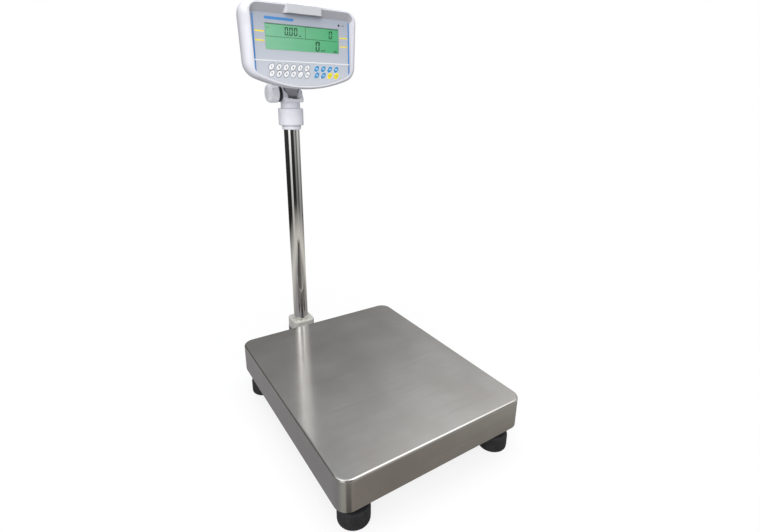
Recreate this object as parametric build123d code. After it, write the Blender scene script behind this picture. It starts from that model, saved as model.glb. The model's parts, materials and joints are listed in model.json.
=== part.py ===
from build123d import *
import math
import os

# Column-type counting scale: a stainless pan on a single-point load cell, a chrome
# column behind the pan and a swivelling, tilting indicator with a membrane keypad.
# Millimetres.  The origin is on the floor under the middle of the scale; +X is the
# user's right, +Y points away from the user towards the column, +Z is up.

# ---------------------------------------------------------------- driving dimensions
SCALE_DEPTH = 655.0          # front of the pan to the back of the column socket

PAN_WIDTH = 400.0
PAN_DEPTH = 500.0
PAN_TOP = 115.0
PAN_SKIRT = 62.0
PAN_CORNER = 25.0
PAN_EDGE = 4.0
PAN_SHEET = 1.2

FRONT_FOOT_INSET = (40.0, 33.0)      # front foot centre from the pan's side and front edges
REAR_FOOT_INSET = (33.0, 46.0)       # rear foot centre from the pan's side and rear edges
FOOT_DIAMETER = 57.0
FOOT_HEIGHT = 34.0
STUD_DIAMETER = 10.0
STUD_BOTTOM = 20.0
STUD_TOP = 82.0

FRAME_BOTTOM = 46.0
FRAME_TOP = 66.0
RAIL_WIDTH = 30.0
RAIL_INSET = 36.5            # middle of each side rail from the pan's side edge
END_BEAM_INSET = 33.0        # middle of the end cross tubes from the pan's front and rear edges
TUBE_WALL = 2.0
ARM_BEAM_Y = 120.0           # frame cross tube that carries the front of the column arm

CELL_LENGTH = 150.0
CELL_WIDTH = 40.0
CELL_HEIGHT = 25.0
CELL_PAD = 3.0               # raised pad that keeps the cell clear of its mountings
CELL_BOLT_OFFSET = 50.0      # from the middle of the cell to the middle of each bolt pair
CELL_BOLT_PITCH = 25.0
BOLT_DIAMETER = 8.0

SPIDER_HEIGHT = 12.0
SPIDER_RAIL_X = 145.0
SPIDER_LENGTH = 400.0
SPIDER_BEAM_Y = 110.0
CUSHION_DIAMETER = 26.0

COLUMN_SETBACK = 125.0       # column axis behind the rear edge of the pan
COLUMN_DIAMETER = 38.0
COLUMN_WALL = 1.5
SOCKET_SIZE = 60.0
SOCKET_TOP = 73.0
ARM_WIDTH = 60.0
ARM_HEIGHT = 16.0
ARM_SHEET = 4.0

COLLAR_BOTTOM = 598.0
COLLAR_TOP = 638.0
COLLAR_DIAMETER = 60.0
NECK_DIAMETER = 46.0
RING_BOTTOM = 588.0
YOKE_BOTTOM = 652.0
PIVOT_Z = 672.0
YOKE_WIDTH = 48.0
YOKE_DEPTH = 40.0
YOKE_GAP = 28.0
YOKE_FLOOR = 12.5            # pivot axis down to the floor of the slot
YOKE_REACH = 26.0            # front of the fork from the column axis
EAR_RADIUS = 14.5
EAR_SHOULDER = 9.0           # pivot axis down to the top of the ears' front edge
EAR_CHAMFER = 9.0            # width of the slope inside the top of each ear
EAR_CHAMFER_START = -1.0     # height over the pivot axis where the slope starts
SPIGOT_DIAMETER = 34.0
CABLE_BORE = 20.0

KNOB_DIAMETER = 43.0
KNOB_LENGTH = 25.0
KNOB_FLUTES = 14
FLUTE_LENGTH = 15.0
WASHER_THICKNESS = 9.0
WASHER_DIAMETER = 39.0

PANEL_SETBACK = 95.6         # column axis back from the face of the keypad overlay
LCD_Z = 785.0                # height of the middle of the LCD window
LCD_WIDTH = 172.0
LCD_HEIGHT = 51.6
OVERLAY_SHEET = 1.2
PANEL_SHEET = 2.5
HOUSING_WALL = 3.0
RIM_DEPTH = -5.7             # front rim at mid height, in front of the overlay
RIM_LEAN = 2.1               # degrees that the rim leans towards the user at the top
PARTING_DEPTH = 30.0         # joint between the two housing shells, behind the overlay
REAR_DEPTH = 70.0            # rear face of the housing, behind the overlay

KEY_LENGTH = 15.0
KEY_WIDTH = 9.4
KEY_SLANT = 50.0             # degrees from horizontal, leaning to the right
KEY_PITCH = 16.3
KEY_ROWS = (-59.7, -73.5)
WHITE_KEYS_START = -75.8
COLOUR_KEYS_START = 28.8
KEY_THICKNESS = 1.35
KEY_PROUD = 0.6

BOARD_DEPTH = 16.0           # front of the circuit board, behind the overlay
BOARD_SHEET = 1.6
LABEL_FACE = -12.0           # the label plate stands in front of the overlay
LABEL_SHEET = 1.5
LABEL_V = 55.5
LABEL_WIDTH = 77.0
LABEL_HEIGHT = 16.5
SCREW_SEAT = 36.0
SCREW_SHANK = 14.0
BRACKET_SHEET = 5.0
WING_WIDTH = 44.0            # widest part of the tongue, above the ears
WING_START = 4.0             # height over the pivot axis where the tongue widens
WING_TOP = 30.0
WING_BACK = -2.0             # rear of the widened part, from the column axis
SOCKET_V = -45.0             # row of sockets in the rear wall
SWITCH_U = -80.0
SERIAL_U = 82.0
POWER_U = -50.0
CABLE_U = 48.0
ROCKER_WIDTH = 10.4
ROCKER_HEIGHT = 16.0
ROCKER_DEPTH = 68.0          # rocker pivot, behind the overlay

CABLE_DIAMETER = 5.0
CABLE_RUN_Z = 34.0           # height of the cell's cable inside the column arm
CABLE_RISE = 12.0            # how far in front of the column axis it turns upwards
CABLE_OUTLET_Z = 645.0       # where the indicator's cable leaves the yoke
CABLE_OUTLET_TURN = 35.0     # degrees round from the back of the neck

FIT = 0.05                   # radial clearance of a running or bolted fit

# ---------------------------------------------------------------- derived positions
REAR_EDGE = SCALE_DEPTH / 2
COLUMN_Y = REAR_EDGE - SOCKET_SIZE / 2
PAN_REAR = COLUMN_Y - COLUMN_SETBACK
PAN_Y = PAN_REAR - PAN_DEPTH / 2
PANEL_Y = COLUMN_Y - PANEL_SETBACK
FEET = [
    (sx * (PAN_WIDTH / 2 - inset_x), PAN_Y + sy * (PAN_DEPTH / 2 - inset_y))
    for sy, (inset_x, inset_y) in ((-1, FRONT_FOOT_INSET), (1, REAR_FOOT_INSET))
    for sx in (-1, 1)
]
RAIL_X = PAN_WIDTH / 2 - RAIL_INSET
END_BEAM_DY = PAN_DEPTH / 2 - END_BEAM_INSET
CELL_BOTTOM = FRAME_TOP + CELL_PAD
CELL_TOP = CELL_BOTTOM + CELL_HEIGHT
SPIDER_BOTTOM = CELL_TOP + CELL_PAD
SPIDER_TOP = SPIDER_BOTTOM + SPIDER_HEIGHT
PAN_INSIDE = PAN_TOP - PAN_SHEET
ARM_FRONT = PAN_Y + ARM_BEAM_Y - RAIL_WIDTH / 2


def box(x0, x1, y0, y1, z0, z1):
    """Axis-aligned block between two opposite corners."""
    centre = ((x0 + x1) / 2, (y0 + y1) / 2, (z0 + z1) / 2)
    return Pos(*centre) * Box(x1 - x0, y1 - y0, z1 - z0)


def post(x, y, z0, z1, diameter):
    """Upright cylinder between two heights."""
    return Pos(x, y, (z0 + z1) / 2) * Cylinder(diameter / 2, z1 - z0)


def cross_rod(y, z, x0, x1, diameter):
    """Cylinder lying along X."""
    return Pos((x0 + x1) / 2, y, z) * Rot(0, 90, 0) * Cylinder(diameter / 2, x1 - x0)


def panel(depth=0.0):
    """Sketch plane parallel to the overlay; depth is measured behind its face."""
    return Plane(origin=(0, PANEL_Y + depth, LCD_Z), x_dir=(1, 0, 0), z_dir=(0, -1, 0))


def panel_rod(u, v, depth0, depth1, diameter):
    """Cylinder square to the overlay, between two depths behind its face."""
    return extrude(panel(depth1) * Pos(u, v) * Circle(diameter / 2), depth1 - depth0)


def panel_block(u, v, width, height, depth0, depth1, corner=0.0):
    """Block square to the overlay, centred on (u, v)."""
    shape = RectangleRounded(width, height, corner) if corner else Rectangle(width, height)
    return extrude(panel(depth1) * Pos(u, v) * shape, depth1 - depth0)


def save(node, shape):
    """Write one named piece, or one group of identical pieces, to its own file."""
    shape.label = node
    export_step(shape, f"parts/{node}.step")


# ---------------------------------------------------------------- platform
def weighing_pan():
    """Deep-drawn stainless cover with a rounded rim, open underneath."""
    outer = extrude(RectangleRounded(PAN_WIDTH, PAN_DEPTH, PAN_CORNER), PAN_SKIRT)
    outer = fillet(outer.faces().sort_by(Axis.Z)[-1].edges(), PAN_EDGE)
    inner = extrude(
        RectangleRounded(
            PAN_WIDTH - 2 * PAN_SHEET,
            PAN_DEPTH - 2 * PAN_SHEET,
            PAN_CORNER - PAN_SHEET,
        ),
        PAN_SKIRT - PAN_SHEET,
    )
    inner = fillet(inner.faces().sort_by(Axis.Z)[-1].edges(), PAN_EDGE - PAN_SHEET)
    return Pos(0, PAN_Y, PAN_TOP - PAN_SKIRT) * (outer - inner)


def pan_cushions():
    """Rubber buttons on the spider that the pan rests on."""
    height = PAN_INSIDE - SPIDER_TOP
    spots = [
        (sx * SPIDER_RAIL_X, PAN_Y + y)
        for sx in (-1, 1)
        for y in (-SPIDER_LENGTH / 2 + 20, 0, SPIDER_LENGTH / 2 - 20)
    ]
    buttons = []
    for x, y in spots:
        button = post(x, y, SPIDER_TOP, SPIDER_TOP + height, CUSHION_DIAMETER)
        buttons.append(chamfer(button.edges().group_by(Axis.Z)[-1], 1.0))
    return Compound(children=buttons)


def welded_tubes(rails, beams, z0, z1):
    """Rectangular tubes welded flat: rails (x, y0, y1) along Y and beams (y, x0, x1, width)
    along X.  The rails are open at both ends and the beams open into the rails."""
    half = RAIL_WIDTH / 2
    outside = [box(x - half, x + half, y0, y1, z0, z1) for x, y0, y1 in rails]
    outside += [box(x0, x1, y - w / 2, y + w / 2, z0, z1) for y, x0, x1, w in beams]
    inner = half - TUBE_WALL
    floor = z0 + TUBE_WALL
    roof = z1 - TUBE_WALL
    hollow = [box(x - inner, x + inner, y0 - 1, y1 + 1, floor, roof) for x, y0, y1 in rails]
    hollow += [
        box(x0 - 2, x1 + 2, y - w / 2 + TUBE_WALL, y + w / 2 - TUBE_WALL, floor, roof)
        for y, x0, x1, w in beams
    ]
    return (Part() + outside) - hollow


def bolt_up(x, y, seat, reach, head_diameter=13.0, head_height=8.0):
    """Socket-head bolt pushed up from below; the head hangs under the seat height."""
    shank = post(x, y, seat, reach, BOLT_DIAMETER)
    head = post(x, y, seat - head_height, seat, head_diameter)
    recess = Pos(x, y, seat - head_height + 2) * extrude(RegularPolygon(3.4, 6), -4)
    return shank + head - recess


def cell_bolt_spots(side):
    """Bolt centres at the fixed (side -1) or the loaded (side +1) end of the cell."""
    middle = PAN_Y + side * CELL_BOLT_OFFSET
    return [(0, middle - CELL_BOLT_PITCH / 2), (0, middle + CELL_BOLT_PITCH / 2)]


def arm_bolt_spots():
    """Two bolts under each of the two rear cross tubes."""
    rear_beam = PAN_Y + END_BEAM_DY
    return [(x, y) for y in (PAN_Y + ARM_BEAM_Y, rear_beam) for x in (-18, 18)]


def stop_spots():
    """Overload stops on the frame rails, under the outer part of the spider rails."""
    return [(sx * (RAIL_X - 8.5), PAN_Y + sy * 150) for sx in (-1, 1) for sy in (-1, 1)]


def base_frame():
    """Welded tube frame with bushes for feet, cell, arm and overload stops."""
    rail_end = END_BEAM_DY + RAIL_WIDTH / 2
    reach = RAIL_X - RAIL_WIDTH / 2 + 1
    rails = [(sx * RAIL_X, PAN_Y - rail_end, PAN_Y + rail_end) for sx in (-1, 1)]
    beams = [
        (PAN_Y - END_BEAM_DY, -reach, reach, RAIL_WIDTH),
        (PAN_Y - CELL_BOLT_OFFSET, -reach, reach, 50.0),
        (PAN_Y + ARM_BEAM_Y, -reach, reach, RAIL_WIDTH),
        (PAN_Y + END_BEAM_DY, -reach, reach, RAIL_WIDTH),
    ]
    frame = welded_tubes(rails, beams, FRAME_BOTTOM, FRAME_TOP)
    pad_y = PAN_Y - CELL_BOLT_OFFSET
    frame += box(-CELL_WIDTH / 2, CELL_WIDTH / 2, pad_y - 25, pad_y + 25, FRAME_TOP - 1, CELL_BOTTOM)
    bushes = [(x, y, 20.0, STUD_DIAMETER) for x, y in FEET]
    bushes += [(x, y, 18.0, BOLT_DIAMETER) for x, y in cell_bolt_spots(-1) + arm_bolt_spots()]
    bushes += [(x, y, 12.0, 6.0) for x, y in stop_spots()]
    for x, y, outside, _ in bushes:
        frame += post(x, y, FRAME_BOTTOM, FRAME_TOP, outside)
    for x, y, _, bore in bushes:
        frame -= post(x, y, FRAME_BOTTOM - 1, CELL_BOTTOM + 1, bore + 2 * FIT)
    return frame


def load_cell():
    """Single-point aluminium cell with a double-bored flexure, along Y."""
    half = CELL_LENGTH / 2
    middle = (CELL_BOTTOM + CELL_TOP) / 2
    cell = box(-CELL_WIDTH / 2, CELL_WIDTH / 2, PAN_Y - half, PAN_Y + half, CELL_BOTTOM, CELL_TOP)
    cell = fillet(cell.edges().filter_by(Axis.Y), 1.0)
    for dy in (-13, 13):
        cell -= cross_rod(PAN_Y + dy, middle, -CELL_WIDTH, CELL_WIDTH, 18.0)
    cell -= box(-CELL_WIDTH, CELL_WIDTH, PAN_Y - 13, PAN_Y + 13, middle - 3, middle + 3)
    for x, y in cell_bolt_spots(-1):
        cell -= post(x, y, CELL_BOTTOM - 1, CELL_BOTTOM + 18, BOLT_DIAMETER + 2 * FIT)
    for x, y in cell_bolt_spots(1):
        cell -= post(x, y, CELL_TOP - 18, CELL_TOP + 1, BOLT_DIAMETER + 2 * FIT)
    return cell - cross_rod(PAN_Y - 35, middle, CELL_WIDTH / 2 - 8, CELL_WIDTH, 6.0)


def cell_base_bolts():
    """Two bolts from under the frame into the fixed end of the cell."""
    return Compound(children=[
        bolt_up(x, y, FRAME_BOTTOM, CELL_BOTTOM + 16) for x, y in cell_bolt_spots(-1)
    ])


def cell_deck_bolts():
    """Two low-head bolts from the spider down into the loaded end of the cell."""
    plate_top = SPIDER_BOTTOM + 6
    bolts = []
    for x, y in cell_bolt_spots(1):
        bolt = post(x, y, CELL_TOP - 16, plate_top, BOLT_DIAMETER)
        bolt += post(x, y, plate_top, plate_top + 4.4, 14.0)
        bolt -= Pos(x, y, plate_top + 2) * extrude(RegularPolygon(2.9, 6), 4)
        bolts.append(bolt)
    return Compound(children=bolts)


def overload_stops():
    """Four set bolts standing on the frame, just short of the spider."""
    stops = []
    for x, y in stop_spots():
        stop = post(x, y, FRAME_BOTTOM + 2, SPIDER_BOTTOM - 6, 6.0)
        stop += post(x, y, FRAME_TOP, FRAME_TOP + 5, 10.0)
        stop += Pos(x, y, SPIDER_BOTTOM - 6) * extrude(RegularPolygon(5.0, 6), 5.2)
        stops.append(stop)
    return Compound(children=stops)


def platform_spider():
    """Upper load frame: two rails, two beams and the plate that bolts to the cell."""
    reach = SPIDER_RAIL_X - RAIL_WIDTH / 2 + 1
    half = SPIDER_LENGTH / 2
    rails = [(sx * SPIDER_RAIL_X, PAN_Y - half, PAN_Y + half) for sx in (-1, 1)]
    beams = [(PAN_Y + sy * SPIDER_BEAM_Y, -reach, reach, RAIL_WIDTH) for sy in (-1, 1)]
    spider = welded_tubes(rails, beams, SPIDER_BOTTOM, SPIDER_TOP)
    inner = SPIDER_BEAM_Y - RAIL_WIDTH / 2 + 1
    spider += box(-50, 50, PAN_Y - inner, PAN_Y + inner, SPIDER_BOTTOM, SPIDER_BOTTOM + 6)
    pad_y = PAN_Y + CELL_BOLT_OFFSET
    spider += box(-CELL_WIDTH / 2, CELL_WIDTH / 2, pad_y - 25, pad_y + 25, CELL_TOP, SPIDER_BOTTOM + 1)
    for x, y in cell_bolt_spots(1):
        spider -= post(x, y, CELL_TOP - 1, SPIDER_TOP, BOLT_DIAMETER + 2 * FIT)
    return spider


# ---------------------------------------------------------------- feet
def foot_pad(x, y):
    """Round rubber foot with a chamfered tread edge and a socket for the stud."""
    pad = post(x, y, 0, FOOT_HEIGHT, FOOT_DIAMETER)
    pad = chamfer(pad.edges().group_by(Axis.Z)[0], 2.5)
    pad = fillet(pad.edges().group_by(Axis.Z)[-1], 4.0)
    return pad - post(x, y, STUD_BOTTOM, FOOT_HEIGHT + 1, STUD_DIAMETER + 2 * FIT)


def foot_stud(x, y):
    """Threaded stud; flats on top take a spanner when the scale is levelled."""
    stud = post(x, y, STUD_BOTTOM, STUD_TOP, STUD_DIAMETER)
    stud = chamfer(stud.edges().group_by(Axis.Z)[-1], 1.0)
    for side in (-1, 1):
        stud -= box(x + side * 6.5 - 3, x + side * 6.5 + 3, y - 8, y + 8, STUD_TOP - 6, STUD_TOP + 1)
    return stud


def foot_lock_nuts():
    """Thin lock nuts that bear on the underside of the frame."""
    height = 5.5
    nuts = []
    for x, y in FEET:
        nut = Pos(x, y, FRAME_BOTTOM - height) * extrude(RegularPolygon(9.2, 6), height)
        bore = post(x, y, FRAME_BOTTOM - height - 1, FRAME_BOTTOM + 1, STUD_DIAMETER + 2 * FIT)
        nuts.append(nut - bore)
    return Compound(children=nuts)


# ---------------------------------------------------------------- column
def column_arm():
    """Pressed channel that runs back from the frame and carries the column."""
    web = FRAME_BOTTOM - ARM_SHEET
    half = ARM_WIDTH / 2
    low = FRAME_BOTTOM - ARM_HEIGHT
    arm = box(-half, half, ARM_FRONT, REAR_EDGE, low, FRAME_BOTTOM)
    arm = fillet(arm.edges().filter_by(Axis.Z).group_by(Axis.Y)[-1], 12.0)
    inside = box(-half + ARM_SHEET, half - ARM_SHEET, ARM_FRONT - 1, REAR_EDGE - ARM_SHEET, low - 1, web)
    arm -= fillet(inside.edges().filter_by(Axis.Z).group_by(Axis.Y)[-1], 12.0 - ARM_SHEET)
    for x, y in arm_bolt_spots() + [(0, COLUMN_Y)]:
        arm -= post(x, y, web - 1, FRAME_BOTTOM + 1, BOLT_DIAMETER + 2 * FIT)
    return arm - post(0, COLUMN_Y - CABLE_RISE, web - 1, FRAME_BOTTOM + 1, 7.0)


def column_bolts():
    """Identical bolts: four hold the arm to the frame and one holds the column."""
    seat = FRAME_BOTTOM - ARM_SHEET
    spots = arm_bolt_spots() + [(0, COLUMN_Y)]
    return Compound(children=[
        bolt_up(x, y, seat, FRAME_BOTTOM + 9, head_height=6.0) for x, y in spots
    ])


def column_socket():
    """Square rounded moulding that steadies the foot of the tube."""
    socket = Pos(0, COLUMN_Y, FRAME_BOTTOM) * extrude(
        RectangleRounded(SOCKET_SIZE, SOCKET_SIZE, 14.0), SOCKET_TOP - FRAME_BOTTOM
    )
    socket = fillet(socket.faces().sort_by(Axis.Z)[-1].edges(), 3.0)
    return socket - post(0, COLUMN_Y, FRAME_BOTTOM - 1, SOCKET_TOP + 1, COLUMN_DIAMETER + 2 * FIT)


def column_tube():
    """Chromed tube with a threaded plug welded into its foot."""
    top = COLLAR_BOTTOM + 14
    tube = post(0, COLUMN_Y, FRAME_BOTTOM, top, COLUMN_DIAMETER)
    tube -= post(0, COLUMN_Y, FRAME_BOTTOM + 10, top + 1, COLUMN_DIAMETER - 2 * COLUMN_WALL)
    tube -= post(0, COLUMN_Y, FRAME_BOTTOM - 1, FRAME_BOTTOM + 11, BOLT_DIAMETER + 2 * FIT)
    return tube - post(0, COLUMN_Y - CABLE_RISE, FRAME_BOTTOM - 1, FRAME_BOTTOM + 11, 7.0)


def swept_cable(path):
    """Round cable along a smooth path."""
    wire = Wire(path)
    section = Plane(origin=wire @ 0, z_dir=wire % 0) * Circle(CABLE_DIAMETER / 2)
    return sweep(section, path=wire)


def load_cell_cable():
    """Cell cable: down between the beams, along inside the arm, up inside the tube."""
    middle = (CELL_BOTTOM + CELL_TOP) / 2
    rise_y = COLUMN_Y - CABLE_RISE
    radius = 8.0
    corner = radius * (1 - math.sqrt(0.5))
    start = (CELL_WIDTH / 2 - 5, PAN_Y - 35, middle)
    arm_start = (0, ARM_FRONT + 20, CABLE_RUN_Z)
    bend_start = (0, rise_y - radius, CABLE_RUN_Z)
    bend_end = (0, rise_y, CABLE_RUN_Z + radius)
    upright = (0, rise_y, FRAME_BOTTOM + 16)
    centred = (0, COLUMN_Y, FRAME_BOTTOM + 90)
    return swept_cable([
        Spline(start, (46, PAN_Y - 6, 70), (32, PAN_Y + 50, 44), arm_start,
               tangents=((1, 0, 0), (0, 1, 0))),
        Line(arm_start, bend_start),
        ThreePointArc(bend_start, (0, rise_y - corner, CABLE_RUN_Z + corner), bend_end),
        Line(bend_end, upright),
        Spline(upright, centred, tangents=((0, 0, 1), (0, 0, 1))),
        Line(centred, (0, COLUMN_Y, COLLAR_TOP - 2)),
    ])


# ---------------------------------------------------------------- head
def column_collar():
    """Round swivel housing on top of the tube, with a narrower skirt ring below."""
    top = COLLAR_BOTTOM + 14
    body = post(0, COLUMN_Y, COLLAR_BOTTOM, COLLAR_TOP, COLLAR_DIAMETER)
    body = fillet(body.edges(), 2.5)
    ring = post(0, COLUMN_Y, RING_BOTTOM, COLLAR_BOTTOM + 5, NECK_DIAMETER)
    body += chamfer(ring.edges().group_by(Axis.Z)[0], 1.0)
    body -= post(0, COLUMN_Y, RING_BOTTOM - 1, top, COLUMN_DIAMETER + 2 * FIT)
    body -= post(0, COLUMN_Y, RING_BOTTOM, COLLAR_TOP + 1, CABLE_BORE)
    return body - post(0, COLUMN_Y, top + 4, COLLAR_TOP + 1, SPIGOT_DIAMETER + 2 * FIT)


def pivot_plane(x):
    """Sketch plane square to the tilt axis; it measures along +Y and +Z from the axis."""
    return Plane(origin=(x, COLUMN_Y, PIVOT_Z), x_dir=(0, 1, 0), z_dir=(1, 0, 0))


def yoke_ears():
    """Two ears that slope down to the front of the fork, with a slope inside their tops."""
    half = YOKE_WIDTH / 2
    low = YOKE_BOTTOM + 2 - PIVOT_Z
    corner = math.hypot(YOKE_REACH, EAR_SHOULDER)
    turn = math.pi + math.atan2(EAR_SHOULDER, YOKE_REACH) - math.acos(EAR_RADIUS / corner)
    touch = (EAR_RADIUS * math.cos(turn), EAR_RADIUS * math.sin(turn))
    profile = Circle(EAR_RADIUS) + make_face(Polyline(
        (EAR_RADIUS, low), (EAR_RADIUS, 0), touch,
        (-YOKE_REACH, -EAR_SHOULDER), (-YOKE_REACH, low), close=True,
    ))
    ears = extrude(pivot_plane(-half) * profile, YOKE_WIDTH)
    slot = YOKE_GAP / 2
    floor = PIVOT_Z - YOKE_FLOOR
    ears -= box(-slot, slot, COLUMN_Y - 30, COLUMN_Y + 30, floor, PIVOT_Z + 30)
    top = EAR_RADIUS + 1
    funnel = make_face(Polyline(
        (-slot, EAR_CHAMFER_START), (slot, EAR_CHAMFER_START),
        (slot + EAR_CHAMFER, EAR_RADIUS), (slot + EAR_CHAMFER, top),
        (-slot - EAR_CHAMFER, top), (-slot - EAR_CHAMFER, EAR_RADIUS), close=True,
    ))
    front = Plane(origin=(0, COLUMN_Y + 30, PIVOT_Z), x_dir=(1, 0, 0), z_dir=(0, -1, 0))
    return ears - extrude(front * funnel, 60)


def swivel_yoke():
    """Fork with a spigot that turns in the collar; its ears carry the tilt bolt."""
    spigot_bottom = COLLAR_BOTTOM + 19
    yoke = post(0, COLUMN_Y, spigot_bottom, YOKE_BOTTOM, SPIGOT_DIAMETER)
    yoke += post(0, COLUMN_Y, COLLAR_TOP + 0.3, YOKE_BOTTOM + 1, NECK_DIAMETER)
    depth = YOKE_DEPTH / 2 + YOKE_REACH
    yoke += Pos(0, COLUMN_Y + YOKE_DEPTH / 2 - depth / 2, YOKE_BOTTOM) * extrude(
        RectangleRounded(YOKE_WIDTH, depth, 3.0), PIVOT_Z - YOKE_FLOOR - YOKE_BOTTOM
    )
    half = YOKE_WIDTH / 2
    yoke += yoke_ears()
    yoke -= cross_rod(COLUMN_Y, PIVOT_Z, -half - 1, half + 1, BOLT_DIAMETER + 2 * FIT)
    yoke -= post(0, COLUMN_Y, spigot_bottom - 1, YOKE_BOTTOM - 2, CABLE_BORE)
    outlet = Pos(0, COLUMN_Y, CABLE_OUTLET_Z) * Rot(0, 0, -CABLE_OUTLET_TURN) * Rot(-90, 0, 0)
    return yoke - outlet * Pos(0, 0, 20) * Cylinder(3.6, 24)


def tilt_bolt():
    """Domed bolt through the ears; its thread carries the clamping knob."""
    half = YOKE_WIDTH / 2
    tip = -(half + WASHER_THICKNESS + KNOB_LENGTH - 8)
    bolt = cross_rod(COLUMN_Y, PIVOT_Z, tip, half + 1, BOLT_DIAMETER)
    head = cross_rod(COLUMN_Y, PIVOT_Z, half, half + 5.5, 20.0)
    head = fillet(head.edges().group_by(Axis.X)[-1], 4.0)
    return bolt + head


def knob_washer():
    """Thick black friction washer between the knob and the left ear."""
    outer = -YOKE_WIDTH / 2
    washer = cross_rod(COLUMN_Y, PIVOT_Z, outer - WASHER_THICKNESS, outer, WASHER_DIAMETER)
    washer = chamfer(washer.edges().group_by(Axis.X)[-1], 3.0)
    return washer - cross_rod(COLUMN_Y, PIVOT_Z, outer - 20, outer + 1, BOLT_DIAMETER + 2 * FIT)


def tilt_knob():
    """Domed clamping knob, fluted round the rim."""
    inner = -YOKE_WIDTH / 2 - WASHER_THICKNESS
    outer = inner - KNOB_LENGTH
    knob = cross_rod(COLUMN_Y, PIVOT_Z, outer, inner, KNOB_DIAMETER)
    knob = fillet(knob.edges().group_by(Axis.X)[0], 9.0)
    knob = chamfer(knob.edges().group_by(Axis.X)[-1], 1.0)
    for i in range(KNOB_FLUTES):
        angle = 2 * math.pi * i / KNOB_FLUTES
        reach = KNOB_DIAMETER / 2 + 1.6
        y = COLUMN_Y + reach * math.cos(angle)
        z = PIVOT_Z + reach * math.sin(angle)
        knob -= cross_rod(y, z, inner - FLUTE_LENGTH, inner + 1, 5.6)
    tip = -(YOKE_WIDTH / 2 + WASHER_THICKNESS + KNOB_LENGTH - 7)
    return knob - cross_rod(COLUMN_Y, PIVOT_Z, tip, inner + 1, BOLT_DIAMETER + 2 * FIT)


# ---------------------------------------------------------------- indicator
def outline(plane, half_top, half_low, top, bottom, r_top, r_low, arch=2.0, sag=29.0):
    """Housing outline: nearly straight top and sides over a shallow curved bottom."""
    shoulder = top - arch
    hip = bottom + sag
    edges = [
        ThreePointArc((-half_top, shoulder), (0, top), (half_top, shoulder)),
        Line((half_top, shoulder), (half_low, hip)),
        ThreePointArc((half_low, hip), (0, bottom), (-half_low, hip)),
        Line((-half_low, hip), (-half_top, shoulder)),
    ]
    face = make_face(edges)
    corners = face.vertices().sort_by(Axis.Y)
    face = fillet(corners[2:], r_top)
    corners = face.vertices().sort_by(Axis.Y)[:2]
    face = fillet(corners, r_low)
    return plane * face


def rim_plane():
    """Plane of the front rim, leaning towards the user at the top."""
    lean = math.radians(RIM_LEAN)
    origin = (0, PANEL_Y + RIM_DEPTH, LCD_Z)
    return Plane(origin=origin, x_dir=(1, 0, 0), z_dir=(0, -math.cos(lean), -math.sin(lean)))


FRONT_SECTIONS = [      # depth, half width at the top and low down, top, bottom, radii
    (4.0, 132.5, 127.0, 69.0, -102.6, 27.0, 32.0),
    (16.0, 135.0, 130.0, 70.5, -103.8, 29.0, 34.0),
    (PARTING_DEPTH, 133.5, 128.5, 70.0, -102.4, 29.0, 34.0),
]
REAR_SECTIONS = [
    (50.0, 127.0, 122.0, 66.0, -97.0, 28.0, 33.0),
    (64.0, 115.0, 110.0, 57.0, -87.0, 24.0, 29.0),
    (REAR_DEPTH, 107.0, 102.0, 50.5, -80.0, 20.0, 25.0),
]


def section(depth, half_top, half_low, top, bottom, r_top, r_low, inset=0.0):
    """One cross-section of the housing, moved inwards by an optional inset."""
    return outline(
        panel(depth),
        half_top - inset,
        half_low - inset,
        top - inset,
        bottom + inset,
        r_top - inset,
        r_low - inset,
    )


def keypad_outline(depth, grow=0.0):
    """Outline of the membrane overlay and of the recess that it lies in."""
    return outline(
        panel(depth),
        112.8 + grow,
        112.0 + grow,
        45.8 + grow,
        -96.2 - grow,
        8.0,
        10.0,
        arch=1.0,
        sag=27.0,
    )


def screw_spots():
    """Corners where the rear shell is screwed to the front shell."""
    return [(-103, 40), (103, 40), (-96, -58), (96, -58)]


def bracket_spots():
    """Corners of the bracket's flange."""
    return [(u, v) for v in (-66, -42) for u in (-20, 20)]


def front_housing():
    """White front shell: rolled rim, sloping recess for the keypad, LCD opening."""
    rim = outline(rim_plane(), 124.5, 117.5, 65.0, -100.2, 24.0, 28.0)
    shell = loft([rim] + [section(*s) for s in FRONT_SECTIONS])
    recess = loft(
        [
            keypad_outline(0.0, 0.2),
            outline(panel(-16.0), 127.0, 115.0, 77.0, -98.5, 27.0, 12.0, arch=1.0, sag=27.0),
        ],
        ruled=True,
    )
    shell -= recess
    shell -= extrude(keypad_outline(OVERLAY_SHEET, 0.2), OVERLAY_SHEET + 0.01)
    back = OVERLAY_SHEET + PANEL_SHEET
    cavity_start = (back, 115.0, 110.0, 52.0, -88.0, 20.0, 24.0)
    cavity = [section(*cavity_start)]
    cavity += [section(*s, inset=HOUSING_WALL) for s in FRONT_SECTIONS[1:]]
    shell -= loft(cavity)
    shell += label_boss()
    shell -= panel_block(0, 0, LCD_WIDTH - 1, LCD_HEIGHT - 1, -1, back + 1)
    for u, v in screw_spots():
        shell += panel_rod(u, v, back - 0.5, PARTING_DEPTH, 10.0)
        shell -= panel_rod(u, v, back + 4, PARTING_DEPTH + 1, 4.0 + 2 * FIT)
    for u, v in board_posts():
        shell += panel_rod(u, v, back - 0.5, BOARD_DEPTH, 7.0)
    return shell


def label_boss():
    """Raised bridge over the top of the recess; its flanks slope down to the sides."""
    face = LABEL_FACE + LABEL_SHEET
    return loft([
        panel(1.0) * Pos(0, LABEL_V) * Rectangle(LABEL_WIDTH + 16, LABEL_HEIGHT + 1),
        panel(face) * Pos(0, LABEL_V) * Rectangle(LABEL_WIDTH + 1, LABEL_HEIGHT + 1),
    ])


def label_tab():
    """Blank silver plate on the bridge."""
    return panel_block(0, LABEL_V, LABEL_WIDTH, LABEL_HEIGHT, LABEL_FACE, LABEL_FACE + LABEL_SHEET, 1.5)


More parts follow.
